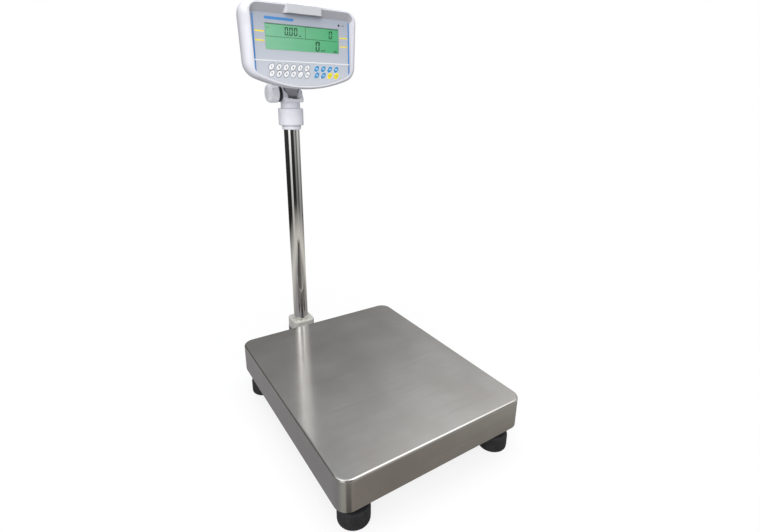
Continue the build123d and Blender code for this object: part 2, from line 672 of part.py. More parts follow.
def rear_housing():
    """White rear shell that narrows to a flat back with screw wells and sockets."""
    joint = FRONT_SECTIONS[-1]
    shell = loft([section(*joint)] + [section(*s) for s in REAR_SECTIONS])
    inner_back = REAR_DEPTH - HOUSING_WALL
    cavity = [section(*joint, inset=HOUSING_WALL)]
    cavity += [section(*s, inset=HOUSING_WALL) for s in REAR_SECTIONS[:1]]
    cavity.append(section(inner_back, 107.0, 102.0, 50.5, -80.0, 20.0, 25.0))
    shell -= loft(cavity)
    for u, v in screw_spots():
        skin = shell & panel_block(u, v, 16, 16, PARTING_DEPTH, REAR_DEPTH + 1)
        well_end = skin.bounding_box().max.Y - PANEL_Y
        shell += panel_rod(u, v, PARTING_DEPTH, well_end - 4, 13.0)
        shell -= panel_rod(u, v, SCREW_SEAT, REAR_DEPTH + 1, 9.0)
        shell -= panel_rod(u, v, PARTING_DEPTH - 1, SCREW_SEAT + 1, 4.0 + 2 * FIT)
    for u, v in bracket_spots():
        shell += panel_rod(u, v, inner_back - 12, inner_back + 1, 10.0)
        shell -= panel_rod(u, v, inner_back - 10, REAR_DEPTH + 1, 4.0 + 2 * FIT)
    for u, v, width, height in socket_openings():
        shell -= panel_block(u, v, width, height, inner_back - 1, REAR_DEPTH + 1)
    return shell


def screw(u, v, seat):
    """Pan-head screw driven forwards; seat is the depth under its head."""
    body = panel_rod(u, v, seat - SCREW_SHANK, seat, 4.0)
    head = panel_rod(u, v, seat, seat + 2.8, 7.8)
    head = fillet(head.edges().group_by(Axis.Y)[-1], 1.6)
    for turn in (0, 90):
        bar = panel(seat + 4) * Pos(u, v) * Rot(0, 0, turn) * Rectangle(4.2, 0.9)
        head -= extrude(bar, 2.6)
    return body + head


def housing_screws():
    """Identical screws: four close the housing and four hold the bracket."""
    seats = [(u, v, SCREW_SEAT) for u, v in screw_spots()]
    seats += [(u, v, REAR_DEPTH + BRACKET_SHEET) for u, v in bracket_spots()]
    return Compound(children=[screw(u, v, seat) for u, v, seat in seats])


def tongue_wings(profile, half):
    """Wider front part of the tongue above the ears; it narrows down into their slot."""
    blank = extrude(pivot_plane(-WING_WIDTH / 2) * profile, WING_WIDTH)
    reach = WING_WIDTH / 2
    slope = (EAR_RADIUS - EAR_CHAMFER_START) / EAR_CHAMFER
    wide = WING_START + (reach - half) * slope
    outline_points = (
        (-half, WING_START), (half, WING_START), (reach, wide),
        (reach, WING_TOP), (-reach, WING_TOP), (-reach, wide),
    )
    face = make_face(Polyline(*outline_points, close=True))
    front = Plane(origin=(0, COLUMN_Y + WING_BACK, PIVOT_Z), x_dir=(1, 0, 0), z_dir=(0, -1, 0))
    return blank & extrude(front * face, 40)


def mounting_bracket():
    """Flange on the back of the housing with the tongue that tilts in the yoke."""
    flange = panel_block(0, -54, 58, 42, REAR_DEPTH, REAR_DEPTH + BRACKET_SHEET, 6.0)
    root_y = PANEL_Y + REAR_DEPTH + BRACKET_SHEET - 1 - COLUMN_Y
    high = LCD_Z - 40 - PIVOT_Z
    low = LCD_Z - 72 - PIVOT_Z
    end = YOKE_FLOOR - 1.0
    lean = math.atan2((high + low) / 2, root_y)
    across = (end * math.sin(lean), -end * math.cos(lean))
    profile = make_face(Polyline(
        (root_y, high), (root_y, low), (-across[0], -across[1]), across, close=True,
    ))
    profile += Circle(end)
    half = YOKE_GAP / 2 - 0.6
    tongue = extrude(pivot_plane(-half) * profile, 2 * half)
    bracket = flange + tongue + tongue_wings(profile, half)
    bracket -= cross_rod(COLUMN_Y, PIVOT_Z, -40, 40, BOLT_DIAMETER + 2 * FIT)
    for u, v in bracket_spots():
        bracket -= panel_rod(u, v, REAR_DEPTH - 1, REAR_DEPTH + 10, 4.0 + 2 * FIT)
    return bracket


def white_key_spots():
    """Twelve number keys in two rows."""
    return [(WHITE_KEYS_START + i * KEY_PITCH, v) for v in KEY_ROWS for i in range(6)]


def colour_key_spots():
    """Eight function keys in two rows."""
    return [(COLOUR_KEYS_START + i * KEY_PITCH, v) for v in KEY_ROWS for i in range(4)]


def key_shape(u, v, grow=0.0):
    """Slanted oval of one key."""
    oval = Ellipse(KEY_LENGTH / 2 + grow, KEY_WIDTH / 2 + grow)
    return Pos(u, v) * Rot(0, 0, KEY_SLANT) * oval


def keypad_key(u, v):
    """One embossed key with a softened edge."""
    key = extrude(panel(KEY_THICKNESS - KEY_PROUD) * key_shape(u, v), KEY_THICKNESS)
    return fillet(key.edges().group_by(Axis.Y)[0], 0.45)


def keypad_overlay():
    """Membrane sheet with the LCD opening and a clear hole round every key."""
    sheet = extrude(keypad_outline(OVERLAY_SHEET), OVERLAY_SHEET)
    sheet -= panel_block(0, 0, LCD_WIDTH, LCD_HEIGHT, -1, OVERLAY_SHEET + 1, 1.5)
    for u, v in white_key_spots() + colour_key_spots():
        sheet -= extrude(panel(OVERLAY_SHEET + 1) * key_shape(u, v, 0.25), OVERLAY_SHEET + 2)
    return sheet


def lcd_window():
    """Clear window set in the overlay's opening."""
    gap = 2 * FIT
    return panel_block(0, 0, LCD_WIDTH - gap, LCD_HEIGHT - gap, 0.1, OVERLAY_SHEET, 1.45)


def lcd_module():
    """Backlit LCD: glass standing in the shell's opening on a metal-framed block."""
    back = OVERLAY_SHEET + PANEL_SHEET
    glass = panel_block(0, 0, LCD_WIDTH - 1.4, LCD_HEIGHT - 1.4, OVERLAY_SHEET + 0.3, back + 1)
    frame = panel_block(0, 0, LCD_WIDTH + 14, LCD_HEIGHT + 10, back, BOARD_DEPTH - 0.5, 1.0)
    return glass + frame


def board_posts():
    """Moulded posts behind the panel that the board sits on."""
    return [(-84, 36), (84, 36), (-80, -48), (80, -48)]


def main_board():
    """Circuit board with its chips and terminal block."""
    board = panel_block(0, -7, 184, 98, BOARD_DEPTH, BOARD_DEPTH + BOARD_SHEET, 8.0)
    for u, v, width, height in ((-70, 30, 14, 14), (72, -30, 22, 10), (-40, -44, 30, 9)):
        board += panel_block(u, v, width, height, BOARD_DEPTH + 1, BOARD_DEPTH + 4)
    return board


def battery():
    """Sealed rechargeable block that stands behind the board."""
    block = panel_block(0, 8, 101, 70, BOARD_DEPTH + BOARD_SHEET + 1.4, REAR_DEPTH - 4, 2.0)
    for u in (-38, 38):
        block += panel_block(u, 45.5, 5, 7, 40, 41)
    return block


def socket_openings():
    """Openings in the rear wall as (u, v, width, height)."""
    return [
        (POWER_U, SOCKET_V, 13.0, 13.0),
        (SWITCH_U, SOCKET_V, 13.6, 19.6),
        (SERIAL_U, SOCKET_V, 18.0, 9.0),
        (CABLE_U, SOCKET_V, 13.0, 13.0),
    ]


def rear_sockets():
    """Power inlet, cable socket, switch bezel and serial port in the rear wall."""
    back = REAR_DEPTH
    inner = back - HOUSING_WALL - 6
    pieces = []
    for u, hole in ((POWER_U, 6.0), (CABLE_U, 8.4)):
        jack = panel_rod(u, SOCKET_V, inner, back, 12.6)
        jack += panel_rod(u, SOCKET_V, back, back + 2, 17.0)
        pieces.append(jack - panel_rod(u, SOCKET_V, back - 6, back + 3, hole))
    bezel = panel_block(SWITCH_U, SOCKET_V, 13.4, 19.4, inner, back)
    bezel += panel_block(SWITCH_U, SOCKET_V, 17, 23, back, back + 1.5, 1.5)
    bezel -= panel_block(
        SWITCH_U, SOCKET_V, ROCKER_WIDTH + 0.5, ROCKER_HEIGHT + 0.5, back - 7, back + 3
    )
    pieces.append(bezel)
    serial = panel_block(SERIAL_U, SOCKET_V, 17.6, 8.6, inner, back)
    serial += panel_block(SERIAL_U, SOCKET_V, 31, 12.5, back, back + 1)
    serial += panel_block(SERIAL_U, SOCKET_V, 17, 8.4, back, back + 6, 3.0)
    pieces.append(serial - panel_block(SERIAL_U, SOCKET_V, 15, 6.4, back + 1, back + 7, 2.5))
    return Compound(children=pieces)


def power_switch():
    """Rocker that pivots across its middle in the switch bezel."""
    side = Plane(
        origin=(SWITCH_U - ROCKER_WIDTH / 2, PANEL_Y + ROCKER_DEPTH, LCD_Z + SOCKET_V),
        x_dir=(0, 1, 0),
        z_dir=(1, 0, 0),
    )
    reach = ROCKER_HEIGHT / 2
    profile = make_face(Polyline(
        (-2.0, -1.5), (1.2, -reach), (3.4, -reach + 0.3), (3.0, 0),
        (5.4, reach - 1.2), (1.4, reach - 1.0), (-2.0, 1.5), close=True,
    ))
    return extrude(side * profile, ROCKER_WIDTH)


def indicator_cable():
    """Cable that leaves the back of the yoke's neck and plugs into the indicator."""
    plug_start = REAR_DEPTH + 2.3
    plug_end = REAR_DEPTH + 20
    plug_z = LCD_Z + SOCKET_V
    away_x = math.sin(math.radians(CABLE_OUTLET_TURN))
    away_y = math.cos(math.radians(CABLE_OUTLET_TURN))
    mouth = (25 * away_x, COLUMN_Y + 25 * away_y, CABLE_OUTLET_Z)
    cable = swept_cable([
        Line((12 * away_x, COLUMN_Y + 12 * away_y, CABLE_OUTLET_Z), mouth),
        Spline(
            mouth,
            (31 * away_x, COLUMN_Y + 30 * away_y, CABLE_OUTLET_Z + 12),
            (23, COLUMN_Y + 22, PIVOT_Z + 20),
            (CABLE_U - 4, COLUMN_Y + 18, plug_z - 12),
            (CABLE_U, PANEL_Y + plug_end - 3, plug_z),
            tangents=((away_x, away_y, 0), (0, -1, 0)),
        ),
    ])
    cable += panel_rod(CABLE_U, SOCKET_V, plug_start, plug_end, 12.0)
    return cable


# ---------------------------------------------------------------- write the parts
os.makedirs("parts", exist_ok=True)

PIECES = [
    base_frame, load_cell, cell_base_bolts, overload_stops, foot_lock_nuts, column_arm,
    column_bolts, column_socket, column_tube, load_cell_cable, column_collar,
    platform_spider, cell_deck_bolts, pan_cushions, weighing_pan,
    swivel_yoke, tilt_bolt, tilt_knob, knob_washer,
    mounting_bracket, front_housing, rear_housing, housing_screws, keypad_overlay,
    lcd_window, lcd_module, main_board, battery, label_tab, rear_sockets, power_switch,
    indicator_cable,
]
for make in PIECES:
    save(make.__name__, make())

for number, (x, y) in enumerate(FEET, start=1):
    save(f"foot_pad_{number}", foot_pad(x, y))
    save(f"foot_stud_{number}", foot_stud(x, y))

for number, (u, v) in enumerate(white_key_spots(), start=1):
    save(f"key_white_{number:02d}", keypad_key(u, v))

blue = 0
yellow = 0
for u, v in colour_key_spots():
    if v == KEY_ROWS[1] and u > COLOUR_KEYS_START + 1.5 * KEY_PITCH:
        yellow += 1
        save(f"key_yellow_{yellow}", keypad_key(u, v))
    else:
        blue += 1
        save(f"key_blue_{blue}", keypad_key(u, v))
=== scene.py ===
"""Looks of the column counting scale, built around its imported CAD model.

The CAD nodes keep their shapes and get procedural materials.  Rubber, cables and prints are
pieces of their own that ride on the CAD bodies.  Metres, +Z up, as in the CAD model.
"""

import json
import math

import bmesh
import bpy
from mathutils import Euler, Matrix, Vector


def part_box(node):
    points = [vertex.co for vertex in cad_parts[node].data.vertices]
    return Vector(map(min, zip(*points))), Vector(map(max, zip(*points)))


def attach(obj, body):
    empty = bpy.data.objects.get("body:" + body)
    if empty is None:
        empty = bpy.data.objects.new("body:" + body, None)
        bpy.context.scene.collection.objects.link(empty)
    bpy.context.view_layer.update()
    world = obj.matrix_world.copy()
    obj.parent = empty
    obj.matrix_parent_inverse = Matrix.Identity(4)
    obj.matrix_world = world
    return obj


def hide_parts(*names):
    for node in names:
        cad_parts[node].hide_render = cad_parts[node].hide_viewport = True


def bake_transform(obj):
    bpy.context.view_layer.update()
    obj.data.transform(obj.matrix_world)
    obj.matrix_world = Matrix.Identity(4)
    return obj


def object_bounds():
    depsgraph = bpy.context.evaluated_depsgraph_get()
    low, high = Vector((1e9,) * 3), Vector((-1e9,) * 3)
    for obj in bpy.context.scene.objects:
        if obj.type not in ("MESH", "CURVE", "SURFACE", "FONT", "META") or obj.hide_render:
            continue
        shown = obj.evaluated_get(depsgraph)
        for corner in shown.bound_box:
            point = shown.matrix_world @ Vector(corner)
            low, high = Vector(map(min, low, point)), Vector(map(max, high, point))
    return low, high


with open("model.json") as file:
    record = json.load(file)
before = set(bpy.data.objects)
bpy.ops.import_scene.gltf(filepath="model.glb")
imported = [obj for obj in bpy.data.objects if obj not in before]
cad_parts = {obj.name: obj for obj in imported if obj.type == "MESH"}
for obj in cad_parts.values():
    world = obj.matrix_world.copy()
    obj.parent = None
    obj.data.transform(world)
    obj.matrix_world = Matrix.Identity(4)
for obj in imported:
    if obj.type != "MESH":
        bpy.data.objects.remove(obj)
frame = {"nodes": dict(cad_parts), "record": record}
cad_low, cad_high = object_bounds()

MM = 0.001

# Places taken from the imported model.
OVERLAY_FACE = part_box("keypad_overlay")[0].y
WINDOW_LOW, WINDOW_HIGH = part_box("lcd_window")
LCD_CENTRE = (WINDOW_LOW + WINDOW_HIGH) / 2
LCD_HALF_WIDTH = (WINDOW_HIGH.x - WINDOW_LOW.x) / 2 / MM
LCD_HALF_HEIGHT = (WINDOW_HIGH.z - WINDOW_LOW.z) / 2 / MM
LCD_GLASS_DEPTH = (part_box("lcd_module")[0].y - OVERLAY_FACE) / MM

# Prints on the keypad, in millimetres from the middle of the LCD window.
PRINT_THICKNESS = 0.06
KEY_LENGTH = 15.0
KEY_WIDTH = 9.4
KEY_SLANT = 50.0
SIDE_LINE_OUTER = 112.2
SIDE_LINE_WIDTH = 3.2
SIDE_LINE_TOP = 41.0
SIDE_LINE_BOTTOM = -70.5
WHITE_LINE_V = -47.2
WHITE_LINE_WIDTH = 2.0
BAR_INNER = 88.0
BAR_OUTER = 108.0
BAR_WIDTH = 2.6
LEFT_BAR_ROWS = (9.0, -9.0)
RIGHT_BAR_ROWS = (8.0, -10.0)
DIGIT_HEIGHT = 6.2
DIGIT_BOLDNESS = 0.14
LED_SPOT = (86.0, 33.7)
LED_RADIUS = 2.0
# Left, right, low and high of the blue stripe and of the bar beside the lamp.
STRIPE = (-86.0, -22.0, 32.5, 38.0)
LED_LEGEND = (92.0, 100.0, 32.8, 34.2)

# Zeros on the LCD: middle, foot, width, height and stroke; the point follows the first.
ZEROS = [
    (-38.5, 4.0, 7.8, 16.4, 2.2),
    (-28.0, 4.0, 7.8, 16.4, 2.2),
    (-17.5, 4.0, 7.8, 16.4, 2.2),
    (65.5, 4.0, 8.4, 16.4, 2.3),
    (33.0, -23.6, 9.6, 20.4, 2.7),
]
POINT_LEFT = -33.8
POINT_SIZE = 1.8
ZERO_LEAN = 0.06
LCD_RIM = 1.2
LCD_RULE_WIDTH = 0.8
LCD_ROW_SPLIT = -0.1
LCD_COLUMN_SPLIT = 5.2

# Cable from the yoke to the back of the indicator: outlet in metres and degrees, and the
# rest in millimetres, with the plug's place from the middle of the keypad's face.
OUTLET_HEIGHT = 0.645
OUTLET_TURN = 35.0
PLUG_OFFSET = (48.0, 72.3, -45.0)
CABLE_RADIUS = 2.5
OUTLET_SLEEVE = 3.3
PLUG_SLEEVE = 3.6
SLEEVE_LENGTH = 24.0

# Rubber buttons under the pan, in millimetres.
BUTTON_RADIUS = 13.0

# The main camera: metres, degrees, millimetres of lens, and shares of the picture's width.
CAMERA_PLACE = (-0.4401, -0.8118, 0.6673)
CAMERA_TURN = (71.96, -0.82, -33.35)
CAMERA_LENS = 21.668
CAMERA_SHIFT = (-0.0128, -0.0263)


# ---------------------------------------------------------------- materials
def srgb(red, green, blue):
    """Scene-linear colour of a display colour given in 0 to 255."""
    def channel(value):
        value /= 255
        return value / 12.92 if value <= 0.04045 else ((value + 0.055) / 1.055) ** 2.4
    return (channel(red), channel(green), channel(blue), 1.0)


# Painted glow: bright bands round the chrome tube, by the turn of its surface (0.5 faces the user), that
# stand in for reflections and show only in what mirrors the tube.
PAINTED_GLOW_STRENGTH = 1.9
PAINTED_CHROME_GLOW = [
    (0.0, 0.0), (0.362, 0.0), (0.37, 1.0), (0.4, 1.0), (0.408, 0.0),
    (0.47, 0.0), (0.476, 1.0), (0.494, 1.0), (0.5, 0.0), (1.0, 0.0),
]


class Shading:
    """Nodes of a material or of the world, added step by step."""

    def __init__(self, tree):
        self.tree = tree

    def add(self, kind, **settings):
        """New node with the given settings."""
        node = self.tree.nodes.new(kind)
        for key, value in settings.items():
            setattr(node, key, value)
        return node

    def feed(self, socket, value):
        """Links another node's output to a socket, or gives it a plain value."""
        if isinstance(value, bpy.types.NodeSocket):
            self.tree.links.new(value, socket)
        else:
            socket.default_value = value

    def calculate(self, operation, first, second=0.0):
        """Result of a maths node."""
        node = self.add("ShaderNodeMath", operation=operation)
        self.feed(node.inputs[0], first)
        self.feed(node.inputs[1], second)
        return node.outputs[0]

    def remap(self, value, low, high, start=0.3, stop=0.7):
        """Value moved from the range start..stop to the range low..high."""
        node = self.add("ShaderNodeMapRange")
        for socket, number in zip(node.inputs, (value, start, stop, low, high)):
            self.feed(socket, number)
        return node.outputs[0]

    def blend(self, share, first, second, blend_type="MIX"):
        """Colour between two colours, or their product with MULTIPLY."""
        node = self.add("ShaderNodeMix", data_type="RGBA", blend_type=blend_type)
        self.feed(node.inputs["Factor"], share)
        self.feed(node.inputs[6], first)
        self.feed(node.inputs[7], second)
        return node.outputs[2]

    def background(self, colour, strength):
        """Shader of a world that shines with a colour."""
        node = self.add("ShaderNodeBackground")
        self.feed(node.inputs["Color"], colour)
        self.feed(node.inputs["Strength"], strength)
        return node.outputs[0]

    def mix_shaders(self, share, first, second):
        """Shader between two shaders."""
        node = self.add("ShaderNodeMixShader")
        self.feed(node.inputs[0], share)
        self.feed(node.inputs[1], first)
        self.feed(node.inputs[2], second)
        return node.outputs[0]

    def ramp(self, stops, source):
        """Colour ramp over a value, from stops of (position, brightness or colour)."""
        node = self.add("ShaderNodeValToRGB")
        line = node.color_ramp
        for i, (position, value) in enumerate(stops):
            element = line.elements.new(position) if i > 1 else line.elements[i]
            element.position = position
            is_brightness = isinstance(value, float)
            element.color = (value, value, value, 1.0) if is_brightness else value
        self.feed(node.inputs[0], source)
        return node.outputs[0]

    def parts(self, vector):
        """Outputs X, Y and Z of a vector."""
        split = self.add("ShaderNodeSeparateXYZ")
        self.feed(split.inputs[0], vector)
        return split.outputs

    def turn_share(self, across, along):
        """Turn of a direction as a share of a full turn; 0.5 lies straight along."""
        turn = self.calculate("ARCTAN2", across, along)
        return self.calculate("ADD", self.calculate("DIVIDE", turn, 2 * math.pi), 0.5)

    def finish(self, shader):
        """Makes a shader the final one."""
        output = self.tree.get_output_node("ALL")
        self.feed(output.inputs["Surface"], shader)


class Surface(Shading):
    """A principled material."""

    def __init__(self, name, colour, roughness, metallic=0.0):
        self.material = bpy.data.materials.new(name)
        self.material.use_nodes = True
        super().__init__(self.material.node_tree)
        self.shader = self.tree.nodes["Principled BSDF"]
        self.place = self.add("ShaderNodeTexCoord").outputs["Object"]
        self.geometry = self.add("ShaderNodeNewGeometry").outputs
        self.set("Base Color", colour)
        self.set("Roughness", roughness)
        self.set("Metallic", metallic)

    def set(self, name, value):
        """Feeds an input of the principled shader."""
        self.feed(self.shader.inputs[name], value)

    def noise(self, scale, stretch=(1.0, 1.0, 1.0), detail=3.0):
        """Noise value, 0 to 1; scale counts features per metre."""
        mapping = self.add("ShaderNodeMapping")
        self.feed(mapping.inputs["Vector"], self.place)
        self.feed(mapping.inputs["Scale"], stretch)
        texture = self.add("ShaderNodeTexNoise")
        self.feed(texture.inputs["Vector"], mapping.outputs[0])
        self.feed(texture.inputs["Scale"], scale)
        self.feed(texture.inputs["Detail"], detail)
        return texture.outputs["Fac"]

    def relief(self, height, depth, edge=0.0):
        """Bumps of the given depth, on edges that look rounded by the given radius."""
        bump = self.add("ShaderNodeBump")
        self.feed(bump.inputs["Height"], height)
        self.feed(bump.inputs["Distance"], depth)
        if edge:
            bevel = self.add("ShaderNodeBevel", samples=4)
            self.feed(bevel.inputs["Radius"], edge)
            self.feed(bump.inputs["Normal"], bevel.outputs[0])
        self.set("Normal", bump.outputs[0])


def brushed_steel():
    """Stainless pan: long fine grain along X on top and round the skirt, with soft blotches."""
    surface = Surface("brushed_pan", srgb(196, 194, 188), 0.3, metallic=1.0)
    facing = surface.geometry["True Normal"]
    on_side = surface.remap(surface.calculate("ABSOLUTE", surface.parts(facing)["X"]), 0.0, 1.0)
    fine = surface.blend(
        on_side,
        surface.noise(1.0, stretch=(14, 2600, 2600)),
        surface.noise(1.0, stretch=(2600, 14, 2600)),
    )
    broad = surface.blend(
        on_side,
        surface.noise(1.0, stretch=(5, 190, 190)),
        surface.noise(1.0, stretch=(190, 5, 190)),
    )
    blotch = surface.noise(11.0, detail=5.0)
    cloud = surface.blend(surface.remap(blotch, 0.0, 1.0), srgb(191, 188, 184), srgb(203, 202, 199))
    streaked = surface.blend(surface.remap(broad, 0.0, 0.25), cloud, srgb(180, 179, 176))
    surface.set("Base Color", streaked)
    grain = surface.remap(fine, -0.02, 0.02)
    patches = surface.remap(blotch, 0.15, 0.16)
    surface.set("Roughness", surface.calculate("ADD", grain, patches))
    surface.set("Anisotropic", 0.85)
    surface.set("Anisotropic Rotation", 0.25)
    around = surface.add("ShaderNodeVectorMath", operation="CROSS_PRODUCT")
    surface.feed(around.inputs[0], (0.0, 0.0, 1.0))
    surface.feed(around.inputs[1], facing)
    along = surface.add("ShaderNodeVectorMath", operation="MULTIPLY_ADD")
    surface.feed(along.inputs[0], surface.parts(facing)["Z"])
    surface.feed(along.inputs[1], (1.0, 0.0, 0.0))
    surface.feed(along.inputs[2], around.outputs[0])
    surface.set("Tangent", along.outputs[0])
    surface.relief(fine, 0.0002 * MM)
    return surface.material


def chrome():
    """Polished chrome with faint smears; painted glowing bands on it stand in for reflections and show
    only in what mirrors it.
    """
    surface = Surface("chrome_tube", srgb(226, 225, 222), 0.06, metallic=1.0)
    smear = surface.noise(60.0, stretch=(1, 1, 0.2), detail=5.0)
    surface.set("Roughness", surface.remap(smear, 0.04, 0.11))
    surface.relief(surface.noise(900.0, detail=2.0), 0.001 * MM)
    normal = surface.parts(surface.geometry["Normal"])
    turn = surface.turn_share(normal["X"], surface.calculate("MULTIPLY", normal["Y"], -1.0))
    # Painted reflection: the tube glows in bright bands for glossy rays only.
    mirrored = surface.add("ShaderNodeLightPath").outputs["Is Glossy Ray"]
    surface.set("Emission Color", surface.ramp(PAINTED_CHROME_GLOW, turn))
    surface.set("Emission Strength", surface.calculate("MULTIPLY", mirrored, PAINTED_GLOW_STRENGTH))
    surface.material.cycles.emission_sampling = "NONE"
    return surface.material


def powder_coat():
    """Satin dark grey coating with orange-peel relief."""
    surface = Surface("frame_paint", srgb(92, 94, 98), 0.42)
    patch = surface.remap(surface.noise(18.0, detail=5.0), 0.0, 1.0)
    surface.set("Base Color", surface.blend(patch, srgb(84, 86, 90), srgb(99, 101, 105)))
    surface.set("Roughness", surface.remap(surface.noise(160.0), 0.36, 0.5))
    surface.relief(surface.noise(1100.0), 0.05 * MM, edge=0.6 * MM)
    return surface.material


def anodised():
    """Clear anodised aluminium with fine milling lines."""
    surface = Surface("cell_aluminium", srgb(214, 216, 220), 0.34, metallic=1.0)
    lines = surface.noise(1.0, stretch=(2200, 40, 2200))
    surface.set("Roughness", surface.remap(lines, 0.28, 0.42))
    surface.relief(lines, 0.006 * MM, edge=0.4 * MM)
    return surface.material


def zinc():
    """Zinc-plated steel with a slightly cloudy, warm film."""
    surface = Surface("bolt_steel", srgb(190, 190, 184), 0.32, metallic=1.0)
    cloud = surface.remap(surface.noise(240.0, detail=5.0), 0.0, 1.0)
    surface.set("Base Color", surface.blend(cloud, srgb(176, 178, 178), srgb(204, 200, 186)))
    surface.set("Roughness", surface.remap(surface.noise(700.0), 0.25, 0.42))
    surface.relief(surface.noise(1500.0), 0.01 * MM, edge=0.25 * MM)
    return surface.material


def rubber():
    """Near-black moulded rubber with a dusty bloom."""
    surface = Surface("black_rubber", srgb(34, 34, 36), 0.62)
    bloom = surface.remap(surface.noise(70.0, detail=6.0), 0.0, 1.0)
    surface.set("Base Color", surface.blend(bloom, srgb(28, 28, 30), srgb(46, 46, 48)))
    surface.set("Roughness", surface.remap(surface.noise(300.0), 0.52, 0.74))
    surface.relief(surface.noise(1800.0), 0.05 * MM)
    return surface.material


def moulded(name, colour, shade, roughness, grain=0.035, painted_hollow_shade=0.82, hollows=(0.1, 0.7), lid=None):
    """Injection-moulded plastic: fine spark-eroded grain, slow changes of tone, painted shade in
    hollows.

    Faces that look down near and above the height of the lid get painted shade as well.
    """
    surface = Surface(name, colour, roughness)
    tone = surface.remap(surface.noise(9.0, detail=4.0), 0.0, 1.0)
    # Painted shade: ambient occlusion darkens the colour in hollows and recesses.
    hollow = surface.add("ShaderNodeAmbientOcclusion", samples=6)
    surface.feed(hollow.inputs["Distance"], 22 * MM)
    shaded = [channel * painted_hollow_shade for channel in shade[:3]] + [1.0]
    open_share = surface.remap(hollow.outputs["AO"], 0.0, 1.0, *hollows)
    # Painted shade on faces that look down near and above the lid height.
    if lid is not None:
        height = surface.parts(surface.place)["Z"]
        facing = surface.parts(surface.geometry["True Normal"])["Z"]
        below = surface.remap(height, 1.0, 0.0, start=lid - 30 * MM, stop=lid)
        upward = surface.remap(facing, 0.0, 1.0, start=-0.3, stop=-0.02)
        unshaded = surface.calculate("MAXIMUM", below, upward)
        open_share = surface.calculate("MINIMUM", open_share, unshaded)
    surface.set("Base Color", surface.blend(open_share, shaded, surface.blend(tone, colour, shade)))
    surface.set("Roughness", surface.remap(surface.noise(140.0), roughness - 0.06, roughness + 0.06))
    surface.relief(surface.noise(1700.0, detail=2.0), grain * MM, edge=0.5 * MM)
    return surface.material


def silver_film():
    """Printed keypad film: silver ink with a fine metallic fleck under a satin face, with painted shade
    that darkens it towards the top.
    """
    surface = Surface("silver_overlay", srgb(190, 196, 206), 0.36, metallic=0.25)
    fleck = surface.remap(surface.noise(3200.0, detail=1.0), 0.0, 1.0)
    # Painted light and shade: the film is darker at the top and paler at the bottom, as the light falls
    # on it.
    painted_shade_top = surface.blend(fleck, srgb(176, 184, 197), srgb(188, 195, 206))
    painted_light_bottom = surface.blend(fleck, srgb(214, 219, 227), srgb(228, 232, 238))
    low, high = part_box("keypad_overlay")
    upward = surface.remap(surface.parts(surface.place)["Z"], 0.0, 1.0, start=low.z, stop=high.z)
    surface.set("Base Color", surface.blend(upward, painted_light_bottom, painted_shade_top))
    surface.set("Roughness", surface.remap(surface.noise(90.0), 0.32, 0.42))
    surface.set("Coat Weight", 0.25)
    surface.set("Coat Roughness", 0.25)
    surface.relief(surface.noise(2400.0), 0.008 * MM, edge=0.2 * MM)
    return surface.material


def clear_film():
    """Clear window: see-through with a thin reflection and faint fingerprints."""
    surface = Surface("window_clear", (1.0, 1.0, 1.0, 1.0), 0.08)
    clear = surface.add("ShaderNodeBsdfTransparent")
    gloss = surface.add("ShaderNodeBsdfGlossy")
    surface.feed(gloss.inputs["Roughness"], surface.remap(surface.noise(130.0), 0.06, 0.14))
    mirror = surface.add("ShaderNodeFresnel")
    surface.feed(mirror.inputs["IOR"], 1.4)
    outer = surface.calculate("SUBTRACT", 1.0, surface.geometry["Backfacing"])
    share = surface.calculate("MULTIPLY", mirror.outputs[0], outer)
    surface.finish(surface.mix_shaders(share, clear.outputs[0], gloss.outputs[0]))
    return surface.material


def backlit_glass():
    """Lit green LCD, paler towards the left edge, with a faint cell pattern."""
    surface = Surface("lcd_green", srgb(110, 200, 150), 0.3)
    half = LCD_HALF_WIDTH * MM
    across = surface.remap(surface.parts(surface.place)["X"], 0.0, 1.0, start=-half, stop=half)
    uneven = surface.calculate("ADD", across, surface.remap(surface.noise(25.0), -0.06, 0.06))
    green = surface.blend(uneven, srgb(123, 184, 148), srgb(76, 167, 114))
    surface.set("Base Color", green)
    surface.set("Emission Color", green)
    surface.set("Emission Strength", 0.15)
    surface.relief(surface.noise(2600.0), 0.002 * MM)
    return surface.material


def solder_mask():
    """Green board with copper tracks that show as slightly paler lines."""
    surface = Surface("board_green", srgb(22, 92, 52), 0.35)
    tracks = surface.add("ShaderNodeTexBrick", offset=0.5)
    surface.feed(tracks.inputs["Vector"], surface.place)
    surface.feed(tracks.inputs["Scale"], 160.0)
    surface.feed(tracks.inputs["Mortar Size"], 0.03)
    surface.set("Base Color", surface.blend(tracks.outputs["Fac"], srgb(18, 84, 46), srgb(60, 134, 84)))
    surface.relief(surface.calculate("SUBTRACT", 1.0, tracks.outputs["Fac"]), 0.03 * MM)
    return surface.material


def label_foil():
    """Blank silver label with a fine brushed look."""
    surface = Surface("label_silver", srgb(222, 224, 227), 0.3, metallic=0.35)
    lines = surface.noise(1.0, stretch=(30, 3000, 3000))
    surface.set("Base Color", surface.blend(lines, srgb(214, 217, 221), srgb(230, 232, 234)))
    surface.set("Roughness", surface.remap(lines, 0.26, 0.38))
    surface.relief(lines, 0.004 * MM, edge=0.3 * MM)
    return surface.material


def sheath(name, colour, shade):
    """Soft PVC cable sheath with slight scuffs."""
    surface = Surface(name, colour, 0.45)
    scuff = surface.remap(surface.noise(120.0, detail=6.0), 0.0, 1.0)
    surface.set("Base Color", surface.blend(scuff, colour, shade))
    surface.set("Roughness", surface.remap(surface.noise(420.0), 0.38, 0.55))
    surface.relief(surface.noise(1400.0), 0.03 * MM)
    return surface.material


